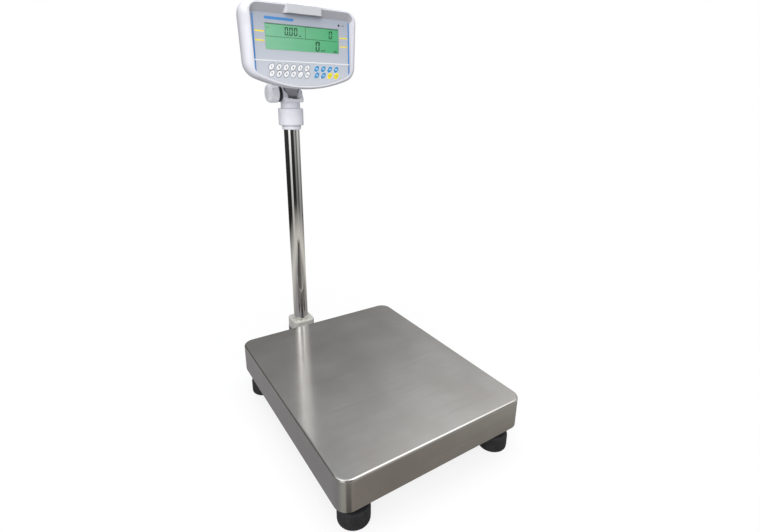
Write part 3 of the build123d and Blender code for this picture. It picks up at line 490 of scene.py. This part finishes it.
def key_film(name, colour, shade):
    """Embossed printed key, a little shinier than the sheet round it."""
    surface = Surface(name, colour, 0.32)
    tone = surface.remap(surface.noise(260.0, detail=4.0), 0.0, 1.0)
    surface.set("Base Color", surface.blend(tone, colour, shade))
    surface.set("Roughness", surface.remap(surface.noise(500.0), 0.26, 0.38))
    surface.relief(surface.noise(2600.0), 0.01 * MM, edge=0.2 * MM)
    return surface.material


def ink(name, colour, shade, roughness=0.4):
    """Screen-printed ink with a fine uneven edge to its density."""
    surface = Surface(name, colour, roughness)
    density = surface.remap(surface.noise(1900.0, detail=2.0), 0.0, 1.0)
    surface.set("Base Color", surface.blend(density, colour, shade))
    surface.set("Roughness", surface.remap(surface.noise(600.0), roughness - 0.06, roughness + 0.06))
    return surface.material


MATERIALS = {
    "brushed_pan": brushed_steel(),
    "frame_paint": powder_coat(),
    "cell_aluminium": anodised(),
    "bolt_steel": zinc(),
    "black_rubber": rubber(),
    "chrome_tube": chrome(),
    "grey_plastic": moulded("grey_plastic", srgb(234, 235, 240), srgb(228, 229, 235), 0.38),
    "knob_plastic": moulded(
        "knob_plastic", srgb(250, 251, 253), srgb(246, 247, 250), 0.36, painted_hollow_shade=0.72,
    ),
    "bracket_plastic": moulded("bracket_plastic", srgb(174, 172, 178), srgb(162, 160, 166), 0.48),
    "socket_grey": moulded("socket_grey", srgb(198, 197, 189), srgb(186, 185, 177), 0.34),
    "black_plastic": moulded("black_plastic", srgb(40, 40, 42), srgb(32, 32, 34), 0.38),
    # Painted shade in its hollows and on the downward faces of the recess above the keypad.
    "white_plastic": moulded(
        "white_plastic", srgb(232, 232, 237), srgb(225, 225, 232), 0.36,
        painted_hollow_shade=0.56, hollows=(0.5, 0.97), lid=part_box("keypad_overlay")[1].z,
    ),
    "silver_overlay": silver_film(),
    "window_clear": clear_film(),
    "lcd_green": backlit_glass(),
    "board_green": solder_mask(),
    "label_silver": label_foil(),
    "cable_grey": sheath("cable_grey", srgb(58, 58, 61), srgb(46, 46, 49)),
    "key_white": key_film("key_white", srgb(246, 246, 246), srgb(238, 239, 241)),
    "key_blue": key_film("key_blue", srgb(74, 158, 208), srgb(60, 144, 198)),
    "key_yellow": key_film("key_yellow", srgb(248, 234, 8), srgb(240, 222, 6)),
    "ink_blue": ink("ink_blue", srgb(82, 146, 208), srgb(72, 134, 198)),
    "ink_yellow": ink("ink_yellow", srgb(253, 236, 52), srgb(248, 228, 44)),
    "ink_white": ink("ink_white", srgb(246, 247, 248), srgb(238, 240, 242)),
    "ink_grey": ink("ink_grey", srgb(122, 126, 134), srgb(108, 112, 122)),
    "ink_black": ink("ink_black", srgb(34, 36, 42), srgb(26, 28, 32)),
    "lcd_dark": ink("lcd_dark", srgb(26, 74, 46), srgb(20, 64, 38), roughness=0.3),
}

# Nodes whose finish differs from the rest of their slot.
OWN_FINISH = {"column_socket": "socket_grey", "tilt_knob": "knob_plastic"}


def paint_cad_nodes():
    """Gives every CAD node its own finish, or that of its slot in the record."""
    for part in frame["record"]["subparts"]:
        mesh = frame["nodes"][part["node"]].data
        mesh.materials.clear()
        finish = OWN_FINISH.get(part["node"], part["material_slot"])
        mesh.materials.append(MATERIALS[finish])


# ---------------------------------------------------------------- mesh helpers
def add_piece(name, mesh, slot, body=None, smooth=None):
    """Object for a mesh in its slot's material; smooth is the angle of its sharpest soft edge."""
    piece = bpy.data.objects.new(name, mesh)
    bpy.context.scene.collection.objects.link(piece)
    mesh.materials.clear()
    mesh.materials.append(MATERIALS[slot])
    if smooth is not None:
        mesh.shade_smooth()
        mesh.set_sharp_from_angle(angle=math.radians(smooth))
    if body:
        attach(piece, body)
    return piece


def on_panel(u, v, proud):
    """Point over the keypad, with u to the right, v up and proud in front of its face."""
    return Vector((u * MM, OVERLAY_FACE - proud * MM, LCD_CENTRE.z + v * MM))


def strip(build, loops):
    """Joins a list of equally long vertex loops with quads."""
    for near, far in zip(loops, loops[1:]):
        for i in range(len(near)):
            j = (i + 1) % len(near)
            build.faces.new((near[i], near[j], far[j], far[i]))


def plates(name, shapes, slot, body, back, front):
    """Flat prints: each shape is an outline, or an outer and an inner outline of a ring."""
    build = bmesh.new()
    for shape in shapes:
        is_ring = len(shape) == 2
        outer = shape[0] if is_ring else shape
        inner = shape[1] if is_ring else None
        outer_back = [build.verts.new(on_panel(u, v, back)) for u, v in outer]
        outer_front = [build.verts.new(on_panel(u, v, front)) for u, v in outer]
        strip(build, [outer_back, outer_front])
        if is_ring:
            inner_back = [build.verts.new(on_panel(u, v, back)) for u, v in inner]
            inner_front = [build.verts.new(on_panel(u, v, front)) for u, v in inner]
            strip(build, [outer_front, inner_front, inner_back, outer_back])
        else:
            build.faces.new(outer_front)
            build.faces.new(outer_back[::-1])
    bmesh.ops.recalc_face_normals(build, faces=build.faces)
    mesh = bpy.data.meshes.new(name)
    build.to_mesh(mesh)
    build.free()
    return add_piece(name, mesh, slot, body)


def rectangle(left, right, low, high):
    """Outline of a rectangle."""
    return [(left, low), (right, low), (right, high), (left, high)]


def oval(u, v, grow, steps=40):
    """Outline of a key, grown all round."""
    slant = math.radians(KEY_SLANT)
    outline = []
    for i in range(steps):
        angle = 2 * math.pi * i / steps
        a = (KEY_LENGTH / 2 + grow) * math.cos(angle)
        b = (KEY_WIDTH / 2 + grow) * math.sin(angle)
        turned_u = u + a * math.cos(slant) - b * math.sin(slant)
        turned_v = v + a * math.sin(slant) + b * math.cos(slant)
        outline.append((turned_u, turned_v))
    return outline


def disc(u, v, radius, steps=32):
    """Outline of a circle."""
    angles = [2 * math.pi * i / steps for i in range(steps)]
    return [(u + radius * math.cos(a), v + radius * math.sin(a)) for a in angles]


# Third entry of a profile point on which the ribs of a turned piece stand.
RIBBED = "ribbed"


def lathe(profile, centre, steps=72, ribs=0, rib_height=0.0):
    """Mesh turned about a vertical axis from a profile of (radius, height) in millimetres."""
    build = bmesh.new()
    loops = []
    for radius, height, *ribbed in profile:
        loop = []
        for i in range(steps):
            angle = 2 * math.pi * i / steps
            wave = rib_height * math.cos(ribs * angle) if ribbed else 0.0
            reach = (radius + wave) * MM
            offset = Vector((reach * math.cos(angle), reach * math.sin(angle), height * MM))
            loop.append(build.verts.new(centre + offset))
        loops.append(loop)
    strip(build, loops)
    build.faces.new(loops[0][::-1])
    build.faces.new(loops[-1])
    bmesh.ops.recalc_face_normals(build, faces=build.faces)
    mesh = bpy.data.meshes.new("lathe")
    build.to_mesh(mesh)
    build.free()
    return mesh


def node_centre(node):
    """Middle of a CAD node's box."""
    low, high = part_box(node)
    return (low + high) / 2


# ---------------------------------------------------------------- prints on the indicator
def print_side_lines():
    """Blue lines down both sides of the keypad, broken by the white line."""
    gap = WHITE_LINE_WIDTH / 2
    runs = ((SIDE_LINE_TOP, WHITE_LINE_V + gap), (WHITE_LINE_V - gap, SIDE_LINE_BOTTOM))
    shapes = []
    for side in (-1, 1):
        for high, low in runs:
            outer = SIDE_LINE_OUTER * side
            inner = (SIDE_LINE_OUTER - SIDE_LINE_WIDTH) * side
            shapes.append(rectangle(min(outer, inner), max(outer, inner), low, high))
    plates("print_side_lines", shapes, "ink_blue", "indicator", 0.0, PRINT_THICKNESS)


def print_rules():
    """White line across the keypad, yellow bars beside the LCD, blue stripe and lamp legend."""
    half = WHITE_LINE_WIDTH / 2
    line = rectangle(-SIDE_LINE_OUTER, SIDE_LINE_OUTER, WHITE_LINE_V - half, WHITE_LINE_V + half)
    plates("print_white_line", [line], "ink_white", "indicator", 0.0, PRINT_THICKNESS)
    bars = []
    for side, rows in ((-1, LEFT_BAR_ROWS), (1, RIGHT_BAR_ROWS)):
        for v in rows:
            ends = sorted((side * BAR_INNER, side * BAR_OUTER))
            bars.append(rectangle(*ends, v - BAR_WIDTH / 2, v + BAR_WIDTH / 2))
    plates("print_yellow_bars", bars, "ink_yellow", "indicator", 0.0, PRINT_THICKNESS)
    plates("print_stripe", [rectangle(*STRIPE)], "ink_blue", "indicator", 0.0, PRINT_THICKNESS)
    legend = rectangle(*LED_LEGEND)
    plates("print_led_legend", [legend], "ink_grey", "indicator", 0.0, PRINT_THICKNESS)


def key_place(node):
    """Place (u, v) of a key's middle."""
    middle = node_centre(node)
    return middle.x / MM, (middle.z - LCD_CENTRE.z) / MM


def print_key_rings():
    """Grey rings round the white keys and pale rings round the coloured ones."""
    white = [name for name in frame["nodes"] if name.startswith("key_white")]
    colour = [name for name in frame["nodes"] if name.startswith(("key_blue", "key_yellow"))]
    for label, names, slot, gap, width in (
        ("print_white_key_rings", white, "ink_grey", 0.5, 0.8),
        ("print_colour_key_rings", colour, "ink_white", 0.45, 0.6),
    ):
        rings = []
        for name in sorted(names):
            u, v = key_place(name)
            rings.append((oval(u, v, gap + width), oval(u, v, gap)))
        plates(label, rings, slot, "indicator", 0.0, PRINT_THICKNESS)


def digit_mesh(text, size):
    """Mesh of a printed number that faces the user, centred on the origin."""
    curve = bpy.data.curves.new("digit", "FONT")
    curve.body = text
    curve.size = size * MM
    curve.offset = DIGIT_BOLDNESS * MM
    curve.extrude = PRINT_THICKNESS / 2 * MM
    curve.align_x = "CENTER"
    curve.align_y = "CENTER"
    holder = bpy.data.objects.new("digit", curve)
    bpy.context.scene.collection.objects.link(holder)
    evaluated = holder.evaluated_get(bpy.context.evaluated_depsgraph_get())
    mesh = bpy.data.meshes.new_from_object(evaluated)
    bpy.data.objects.remove(holder)
    mesh.transform(Matrix.Rotation(math.radians(90), 4, "X"))
    return mesh


def print_on_key(name, shapes, slot, node):
    """Flat print on a key's face that moves with the key."""
    proud = (OVERLAY_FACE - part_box(node)[0].y) / MM
    body = node.replace("key_", "keycap_")
    plates(name, shapes, slot, body, proud - 0.02, proud + PRINT_THICKNESS / 2)


def mark_white_keys():
    """Digits and the point on the white keys; the last key carries two plain bars."""
    for number, text in enumerate("1234567890.", start=1):
        node = f"key_white_{number:02d}"
        middle = node_centre(node)
        mesh = digit_mesh(text, DIGIT_HEIGHT)
        mesh.transform(Matrix.Translation((middle.x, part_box(node)[0].y, middle.z)))
        add_piece(f"mark_white_{number:02d}", mesh, "ink_black", f"keycap_white_{number:02d}")
    u, v = key_place("key_white_12")
    bars = [
        rectangle(u - 2.4, u - 0.5, v - 1.2, v + 1.2),
        rectangle(u + 0.5, u + 2.4, v - 1.2, v + 1.2),
    ]
    print_on_key("mark_white_12", bars, "ink_black", "key_white_12")


def mark_colour_keys():
    """Two pale bars on each blue key and two grey ones on each yellow key."""
    for colour, count, slot in (("blue", 6, "ink_white"), ("yellow", 2, "ink_grey")):
        for number in range(1, count + 1):
            node = f"key_{colour}_{number}"
            u, v = key_place(node)
            bars = [
                rectangle(u - 3.0, u + 3.0, v + 0.4, v + 1.2),
                rectangle(u - 2.0, u + 2.0, v - 1.3, v - 0.5),
            ]
            print_on_key(f"mark_{colour}_{number}", bars, slot, node)


def zero(u, low, width, height, thick):
    """Six lit bars of a seven-bar zero, leaning slightly to the right."""
    gap = 0.25 * thick
    half = height / 2
    bars = []
    for side in (0, 1):
        for start in (0.0, half):
            x0 = side * (width - thick)
            y0 = start + thick / 2 + gap
            y1 = start + half - gap
            bars.append([
                (x0, y0), (x0 + thick / 2, y0 - thick / 2), (x0 + thick, y0),
                (x0 + thick, y1), (x0 + thick / 2, y1 + thick / 2 - gap), (x0, y1),
            ])
    for base in (0.0, height - thick):
        bars.append([
            (gap + thick / 2, base + thick / 2), (gap + thick, base),
            (width - thick - gap, base), (width - gap - thick / 2, base + thick / 2),
            (width - thick - gap, base + thick), (gap + thick, base + thick),
        ])
    left = u - width / 2
    return [[(left + x + ZERO_LEAN * y, low + y) for x, y in bar] for bar in bars]


def show_readings():
    """Three zero readings, the rules between them and the small status marks."""
    front = 0.08 - LCD_GLASS_DEPTH
    back = -0.05 - LCD_GLASS_DEPTH
    digits = []
    for place in ZEROS:
        digits += zero(*place)
    foot = ZEROS[0][1] - 0.2
    digits.append(rectangle(POINT_LEFT, POINT_LEFT + POINT_SIZE, foot, foot + POINT_SIZE))
    plates("lcd_digits", digits, "lcd_dark", "indicator", back, front)
    edge = LCD_HALF_WIDTH - LCD_RIM
    top = LCD_HALF_HEIGHT - LCD_RIM
    split_top = LCD_ROW_SPLIT + LCD_RULE_WIDTH
    rules = [
        rectangle(-edge, edge, LCD_ROW_SPLIT, split_top),
        rectangle(LCD_COLUMN_SPLIT, LCD_COLUMN_SPLIT + LCD_RULE_WIDTH, split_top, top),
        rectangle(-edge, edge, top - 0.7, top),
    ]
    plates("lcd_rules", rules, "lcd_dark", "indicator", back, front)
    level_mark = [rectangle(-82.0, -77.0, 16.4, 17.2)]
    weight_unit = [rectangle(u, u + 1.8, 3.6, 6.2) for u in (-9.5, -6.6)]
    count_unit = [rectangle(u, u + 2.4, -22.4, -19.6) for u in (42.0, 45.6, 49.2)]
    battery_case = [(rectangle(73.0, 80.0, -23.4, -19.6), rectangle(73.6, 79.4, -22.8, -20.2))]
    battery_cells = [rectangle(u, u + 1.2, -22.3, -20.7) for u in (74.2, 76.0, 77.8)]
    battery_pole = [rectangle(80.0, 80.8, -22.3, -20.7)]
    marks = level_mark + weight_unit + count_unit + battery_case + battery_cells + battery_pole
    plates("lcd_marks", marks, "lcd_dark", "indicator", back, front)


def status_led():
    """Small black lens in a narrow raised ring."""
    ring = (disc(*LED_SPOT, LED_RADIUS + 0.5), disc(*LED_SPOT, LED_RADIUS))
    plates("led_ring", [ring], "ink_grey", "indicator", 0.0, 0.25)
    profile = [(LED_RADIUS, 0.0), (LED_RADIUS, 0.2), (1.6, 0.5), (0.9, 0.7), (0.3, 0.76)]
    mesh = lathe(profile, Vector((0, 0, 0)), steps=32)
    mesh.transform(Matrix.Rotation(math.radians(90), 4, "X"))
    mesh.transform(Matrix.Translation(on_panel(*LED_SPOT, 0.0)))
    add_piece("status_led", mesh, "ink_black", "indicator", smooth=50)


# ---------------------------------------------------------------- rubber and cables
def rubber_feet():
    """Levelling feet with a grooved tread, ribbed sides, a rounded shoulder and a stud collar."""
    profile = [
        (9.0, 1.6), (11.0, 0.0), (14.0, 0.0), (14.8, 1.4),
        (17.2, 1.4), (18.0, 0.0), (23.5, 0.0), (26.3, 0.6),
        (28.0, 2.2, RIBBED), (28.4, 4.5, RIBBED), (28.4, 26.5, RIBBED), (28.2, 29.0, RIBBED),
        (27.4, 31.6), (25.8, 33.2), (23.4, 34.0), (11.0, 34.0),
        (10.0, 33.0), (8.5, 33.0), (7.5, 34.0), (5.2, 34.0),
        (5.1, 20.0),
    ]
    for number in range(1, 5):
        low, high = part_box(f"foot_pad_{number}")
        centre = Vector(((low.x + high.x) / 2, (low.y + high.y) / 2, low.z))
        mesh = lathe(profile, centre, steps=144, ribs=36, rib_height=0.18)
        foot = add_piece(f"rubber_foot_{number}", mesh, "black_rubber", f"foot_{number}", smooth=40)
        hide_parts(f"foot_pad_{number}")


def pan_buttons():
    """Ribbed rubber buttons that the pan rests on."""
    low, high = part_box("pan_cushions")
    height = (high.z - low.z) / MM
    radius = BUTTON_RADIUS
    profile = [
        (radius - 0.6, 0.0), (radius, 0.6), (radius, height * 0.45, RIBBED),
        (radius - 1.2, height - 0.4), (radius - 2.2, height),
        (5.0, height), (4.2, height - 0.8), (1.0, height - 0.8),
    ]
    rows = (low.y + radius * MM, (low.y + high.y) / 2, high.y - radius * MM)
    columns = (low.x + radius * MM, high.x - radius * MM)
    spots = [Vector((x, y, low.z)) for x in columns for y in rows]
    for number, spot in enumerate(spots, start=1):
        mesh = lathe(profile, spot, steps=96, ribs=24, rib_height=0.25)
        button = add_piece(f"pan_button_{number}", mesh, "black_rubber", "deck", smooth=40)
        if number == 1:
            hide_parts("pan_cushions")


def smooth_path(points, steps):
    """Evenly stepped Catmull-Rom curve through the points."""
    padded = [2 * points[0] - points[1], *points, 2 * points[-1] - points[-2]]
    path = []
    for a, b, c, d in zip(padded, padded[1:], padded[2:], padded[3:]):
        for i in range(steps):
            t = i / steps
            path.append(0.5 * (
                2 * b + (c - a) * t + (2 * a - 5 * b + 4 * c - d) * t * t
                + (3 * b - a - 3 * c + d) * t * t * t
            ))
    path.append(points[-1])
    return path


def tube(name, path, radii, steps=28):
    """Mesh of a tube along a path, with a radius for each of its points."""
    build = bmesh.new()
    loops = []
    # A start direction that no stretch of the path runs along.
    side = Vector((0.31, 0.17, 0.94))
    for i, point in enumerate(path):
        ahead = path[min(i + 1, len(path) - 1)] - path[max(i - 1, 0)]
        along = ahead.normalized()
        side = (side - side.dot(along) * along).normalized()
        other = along.cross(side)
        loop = []
        for k in range(steps):
            angle = 2 * math.pi * k / steps
            offset = side * math.cos(angle) + other * math.sin(angle)
            loop.append(build.verts.new(point + offset * radii[i]))
        loops.append(loop)
    strip(build, loops)
    build.faces.new(loops[0][::-1])
    build.faces.new(loops[-1])
    bmesh.ops.recalc_face_normals(build, faces=build.faces)
    mesh = bpy.data.meshes.new(name)
    build.to_mesh(mesh)
    build.free()
    return mesh


def indicator_cable():
    """Cable from the back of the yoke to the indicator."""
    column = node_centre("column_tube")
    turn = math.radians(OUTLET_TURN)
    away = Vector((math.sin(turn), math.cos(turn), 0.0))
    outlet = Vector((column.x, column.y, OUTLET_HEIGHT))
    plug = Vector((0.0, OVERLAY_FACE, LCD_CENTRE.z)) + Vector(PLUG_OFFSET) * MM
    # Out of the yoke, up behind it, and over into the plug.
    points = [
        outlet + 14 * MM * away,
        outlet + 25 * MM * away,
        Vector((31 * MM * away.x, column.y + 30 * MM * away.y, OUTLET_HEIGHT + 12 * MM)),
        Vector((23 * MM, column.y + 22 * MM, OUTLET_HEIGHT + 47 * MM)),
        Vector((44 * MM, column.y + 18 * MM, plug.z - 12 * MM)),
        plug + Vector((0.0, 14.7 * MM, 0.0)),
    ]
    path = smooth_path(points, 26)
    radii = []
    for point in path:
        from_outlet = (point - outlet).length / MM
        from_plug = (point - plug).length / MM
        radius = CABLE_RADIUS
        if from_outlet < SLEEVE_LENGTH:
            step = 0.35 * (from_outlet > 18)
            radius = OUTLET_SLEEVE - step + 0.22 * math.cos(from_outlet * 2.1)
        if from_plug < SLEEVE_LENGTH:
            radius = max(radius, PLUG_SLEEVE + 0.25 * math.cos(from_plug * 2.1))
        radii.append(radius * MM)
    cable = add_piece("bent_cable", tube("bent_cable", path, radii), "cable_grey", smooth=60)
    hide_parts("indicator_cable")
    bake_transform(cable)
    profile = [
        (3.4, 0.0), (5.2, 0.0), (5.9, 0.8, RIBBED), (5.9, 9.0, RIBBED), (5.2, 9.8),
        (4.9, 13.0), (4.2, 16.5), (3.6, 17.7), (2.6, 17.7),
    ]
    mesh = lathe(profile, Vector((0, 0, 0)), steps=120, ribs=20, rib_height=0.1)
    mesh.transform(Matrix.Rotation(math.radians(-90), 4, "X"))
    mesh.transform(Matrix.Translation(plug))
    shell = add_piece("cable_plug", mesh, "black_plastic", "indicator", smooth=35)


# ---------------------------------------------------------------- stage
# What the steel sees of the floor round its front left corner, once round from the front.
FLOOR_BANDS = [
    (0.0, (0.22, 0.2, 0.18, 1.0)),
    (0.03, (0.1, 0.095, 0.09, 1.0)),
    (0.09, (0.1, 0.095, 0.09, 1.0)),
    (0.12, (0.38, 0.38, 0.35, 1.0)),
    (0.19, (0.38, 0.38, 0.35, 1.0)),
    (0.24, (0.28, 0.28, 0.29, 1.0)),
    (0.5, (0.29, 0.28, 0.29, 1.0)),
    (0.7, (0.26, 0.24, 0.22, 1.0)),
    (1.0, (0.27, 0.24, 0.215, 1.0)),
]
CORNER_INSET = 25 * MM

# Brightness that metal sees near the horizon, once round from the front (share of a turn).
LOW_TURN_STOPS = [
    (0.0, 0.02), (0.118, 0.02), (0.13, 0.62), (0.195, 0.6), (0.215, 0.02), (0.55, 0.02),
    (0.575, 0.15), (0.75, 0.18), (0.775, 0.36), (0.86, 0.3), (0.88, 0.06), (0.91, 0.07),
    (0.93, 0.21), (0.985, 0.19), (1.0, 0.02),
]
# Its strength by the height of the direction, from half a unit below the horizon to half above.
LOW_RISE_STOPS = [(0.0, 0.55), (0.25, 0.55), (0.35, 0.8), (0.43, 1.3), (0.7, 1.5)]
# Brightness higher up, once round from the front.
HIGH_TURN_STOPS = [
    (0.0, 0.6), (0.1, 0.6), (0.2, 1.6), (0.32, 1.6), (0.38, 0.6), (0.52, 0.58),
    (0.545, 0.64), (0.573, 0.68), (0.59, 0.8), (0.61, 1.15), (0.63, 1.2), (0.66, 1.75),
    (0.75, 1.75), (0.92, 1.9), (0.96, 0.6), (1.0, 0.6),
]
# Its strength by the height of the direction.
HIGH_RISE_STOPS = [
    (0.0, 0.21), (0.35, 0.24), (0.5, 0.29), (0.62, 0.38), (0.76, 0.56), (0.86, 0.85), (1.0, 0.95),
]
# Share of the higher part by the height of the direction.
HIGH_SHARE_STOPS = [(0.25, 0.0), (0.45, 1.0)]


def stage_floor():
    """Floor that fades to white for the camera, while metal sees it darker and banded."""
    bpy.ops.mesh.primitive_plane_add(size=24.0)
    floor = bpy.context.object
    floor.name = "studio_floor"
    pale = (0.9, 0.9, 0.9, 1.0)
    surface = Surface("studio_floor", pale, 0.8)
    rays = surface.add("ShaderNodeLightPath").outputs
    distance = surface.add("ShaderNodeVectorMath", operation="LENGTH")
    surface.feed(distance.inputs[0], surface.place)
    reach = distance.outputs["Value"]

    place = surface.parts(surface.place)
    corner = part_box("weighing_pan")[0]
    across = surface.calculate("SUBTRACT", place["X"], corner.x + CORNER_INSET)
    along = surface.calculate("SUBTRACT", place["Y"], corner.y + CORNER_INSET)
    bands = surface.ramp(FLOOR_BANDS, surface.turn_share(across, along))
    far = surface.remap(reach, 0.0, 1.0, start=0.42, stop=0.7)
    mirrored = surface.blend(far, bands, (0.62, 0.61, 0.57, 1.0))
    bounced = surface.blend(rays["Is Diffuse Ray"], pale, (0.3, 0.3, 0.32, 1.0))
    black = (0.0, 0.0, 0.0, 1.0)
    surface.set("Base Color", surface.blend(rays["Is Glossy Ray"], bounced, black))
    surface.set("Emission Color", mirrored)
    surface.set("Emission Strength", rays["Is Glossy Ray"])

    fade = surface.remap(reach, 0.82, 1.0, start=0.36, stop=0.8)
    whitened = surface.calculate("MULTIPLY", fade, rays["Is Camera Ray"])
    white = surface.add("ShaderNodeEmission").outputs[0]
    plain = surface.mix_shaders(whitened, surface.shader.outputs[0], white)
    gap = surface.remap(reach, 0.0, 1.0, start=0.8, stop=1.5)
    missing = surface.calculate("MULTIPLY", gap, rays["Is Glossy Ray"])
    clear = surface.add("ShaderNodeBsdfTransparent").outputs[0]
    surface.finish(surface.mix_shaders(missing, plain, clear))
    floor.data.materials.append(surface.material)


def studio_world():
    """White surround to the camera; metal sees soft panels with dark gaps between them."""
    world = bpy.data.worlds.new("studio")
    bpy.context.scene.world = world
    world.use_nodes = True
    sky = Shading(world.node_tree)
    direction = sky.parts(sky.add("ShaderNodeTexCoord").outputs["Generated"])
    rise = direction["Z"]
    around = sky.turn_share(direction["X"], direction["Y"])

    low_turn = sky.ramp(LOW_TURN_STOPS, around)
    low_rise = sky.ramp(LOW_RISE_STOPS, sky.calculate("ADD", rise, 0.5))
    low_part = sky.blend(1.0, low_turn, low_rise, blend_type="MULTIPLY")
    high_turn = sky.ramp(HIGH_TURN_STOPS, around)
    high_rise = sky.ramp(HIGH_RISE_STOPS, rise)
    high_part = sky.blend(1.0, high_turn, high_rise, blend_type="MULTIPLY")
    panels = sky.blend(sky.ramp(HIGH_SHARE_STOPS, rise), low_part, high_part)

    lit = sky.background((0.92, 0.93, 1.0, 1.0), 0.5)
    mirrored = sky.background(panels, 1.6)
    seen = sky.background((1.0, 1.0, 1.0, 1.0), 1.0)
    rays = sky.add("ShaderNodeLightPath").outputs
    unseen = sky.mix_shaders(rays["Is Glossy Ray"], lit, mirrored)
    sky.finish(sky.mix_shaders(rays["Is Camera Ray"], unseen, seen))


def soft_light(name, place, size, power, colour=(1.0, 1.0, 1.0)):
    """Square soft box aimed at the middle of the scale."""
    light = bpy.data.lights.new(name, "AREA")
    light.size = size
    light.energy = power
    light.color = colour
    lamp = bpy.data.objects.new(name, light)
    bpy.context.scene.collection.objects.link(lamp)
    lamp.location = place
    lamp.visible_glossy = False
    aim = (cad_low + cad_high) / 2 - Vector(place)
    lamp.rotation_euler = aim.to_track_quat("-Z", "Y").to_euler()


def place_camera():
    """Camera at the angle and with the wide lens that the picture was taken with."""
    data = bpy.data.cameras.new("camera")
    data.lens = CAMERA_LENS
    data.shift_x, data.shift_y = CAMERA_SHIFT
    camera = bpy.data.objects.new("camera", data)
    bpy.context.scene.collection.objects.link(camera)
    camera.location = CAMERA_PLACE
    camera.rotation_euler = Euler([math.radians(a) for a in CAMERA_TURN])
    bpy.context.scene.camera = camera


paint_cad_nodes()
print_side_lines()
print_rules()
print_key_rings()
mark_white_keys()
mark_colour_keys()
show_readings()
status_led()
rubber_feet()
pan_buttons()
indicator_cable()

stage_floor()
studio_world()
soft_light("key_light", place=(-1.1, -2.0, 2.1), size=1.6, power=44.0, colour=(1.0, 0.99, 0.97))
soft_light("side_light", place=(-2.3, -1.0, 0.7), size=1.2, power=14.0)
soft_light("front_light", place=(-0.6, -2.4, 0.2), size=1.6, power=10.0, colour=(0.98, 0.99, 1.0))
soft_light("fill_light", place=(1.9, -1.6, 1.4), size=1.6, power=2.0, colour=(0.95, 0.97, 1.0))
soft_light("top_light", place=(0.1, 0.1, 2.8), size=1.8, power=36.0)
bpy.context.scene.view_settings.view_transform = "Standard"
place_camera()
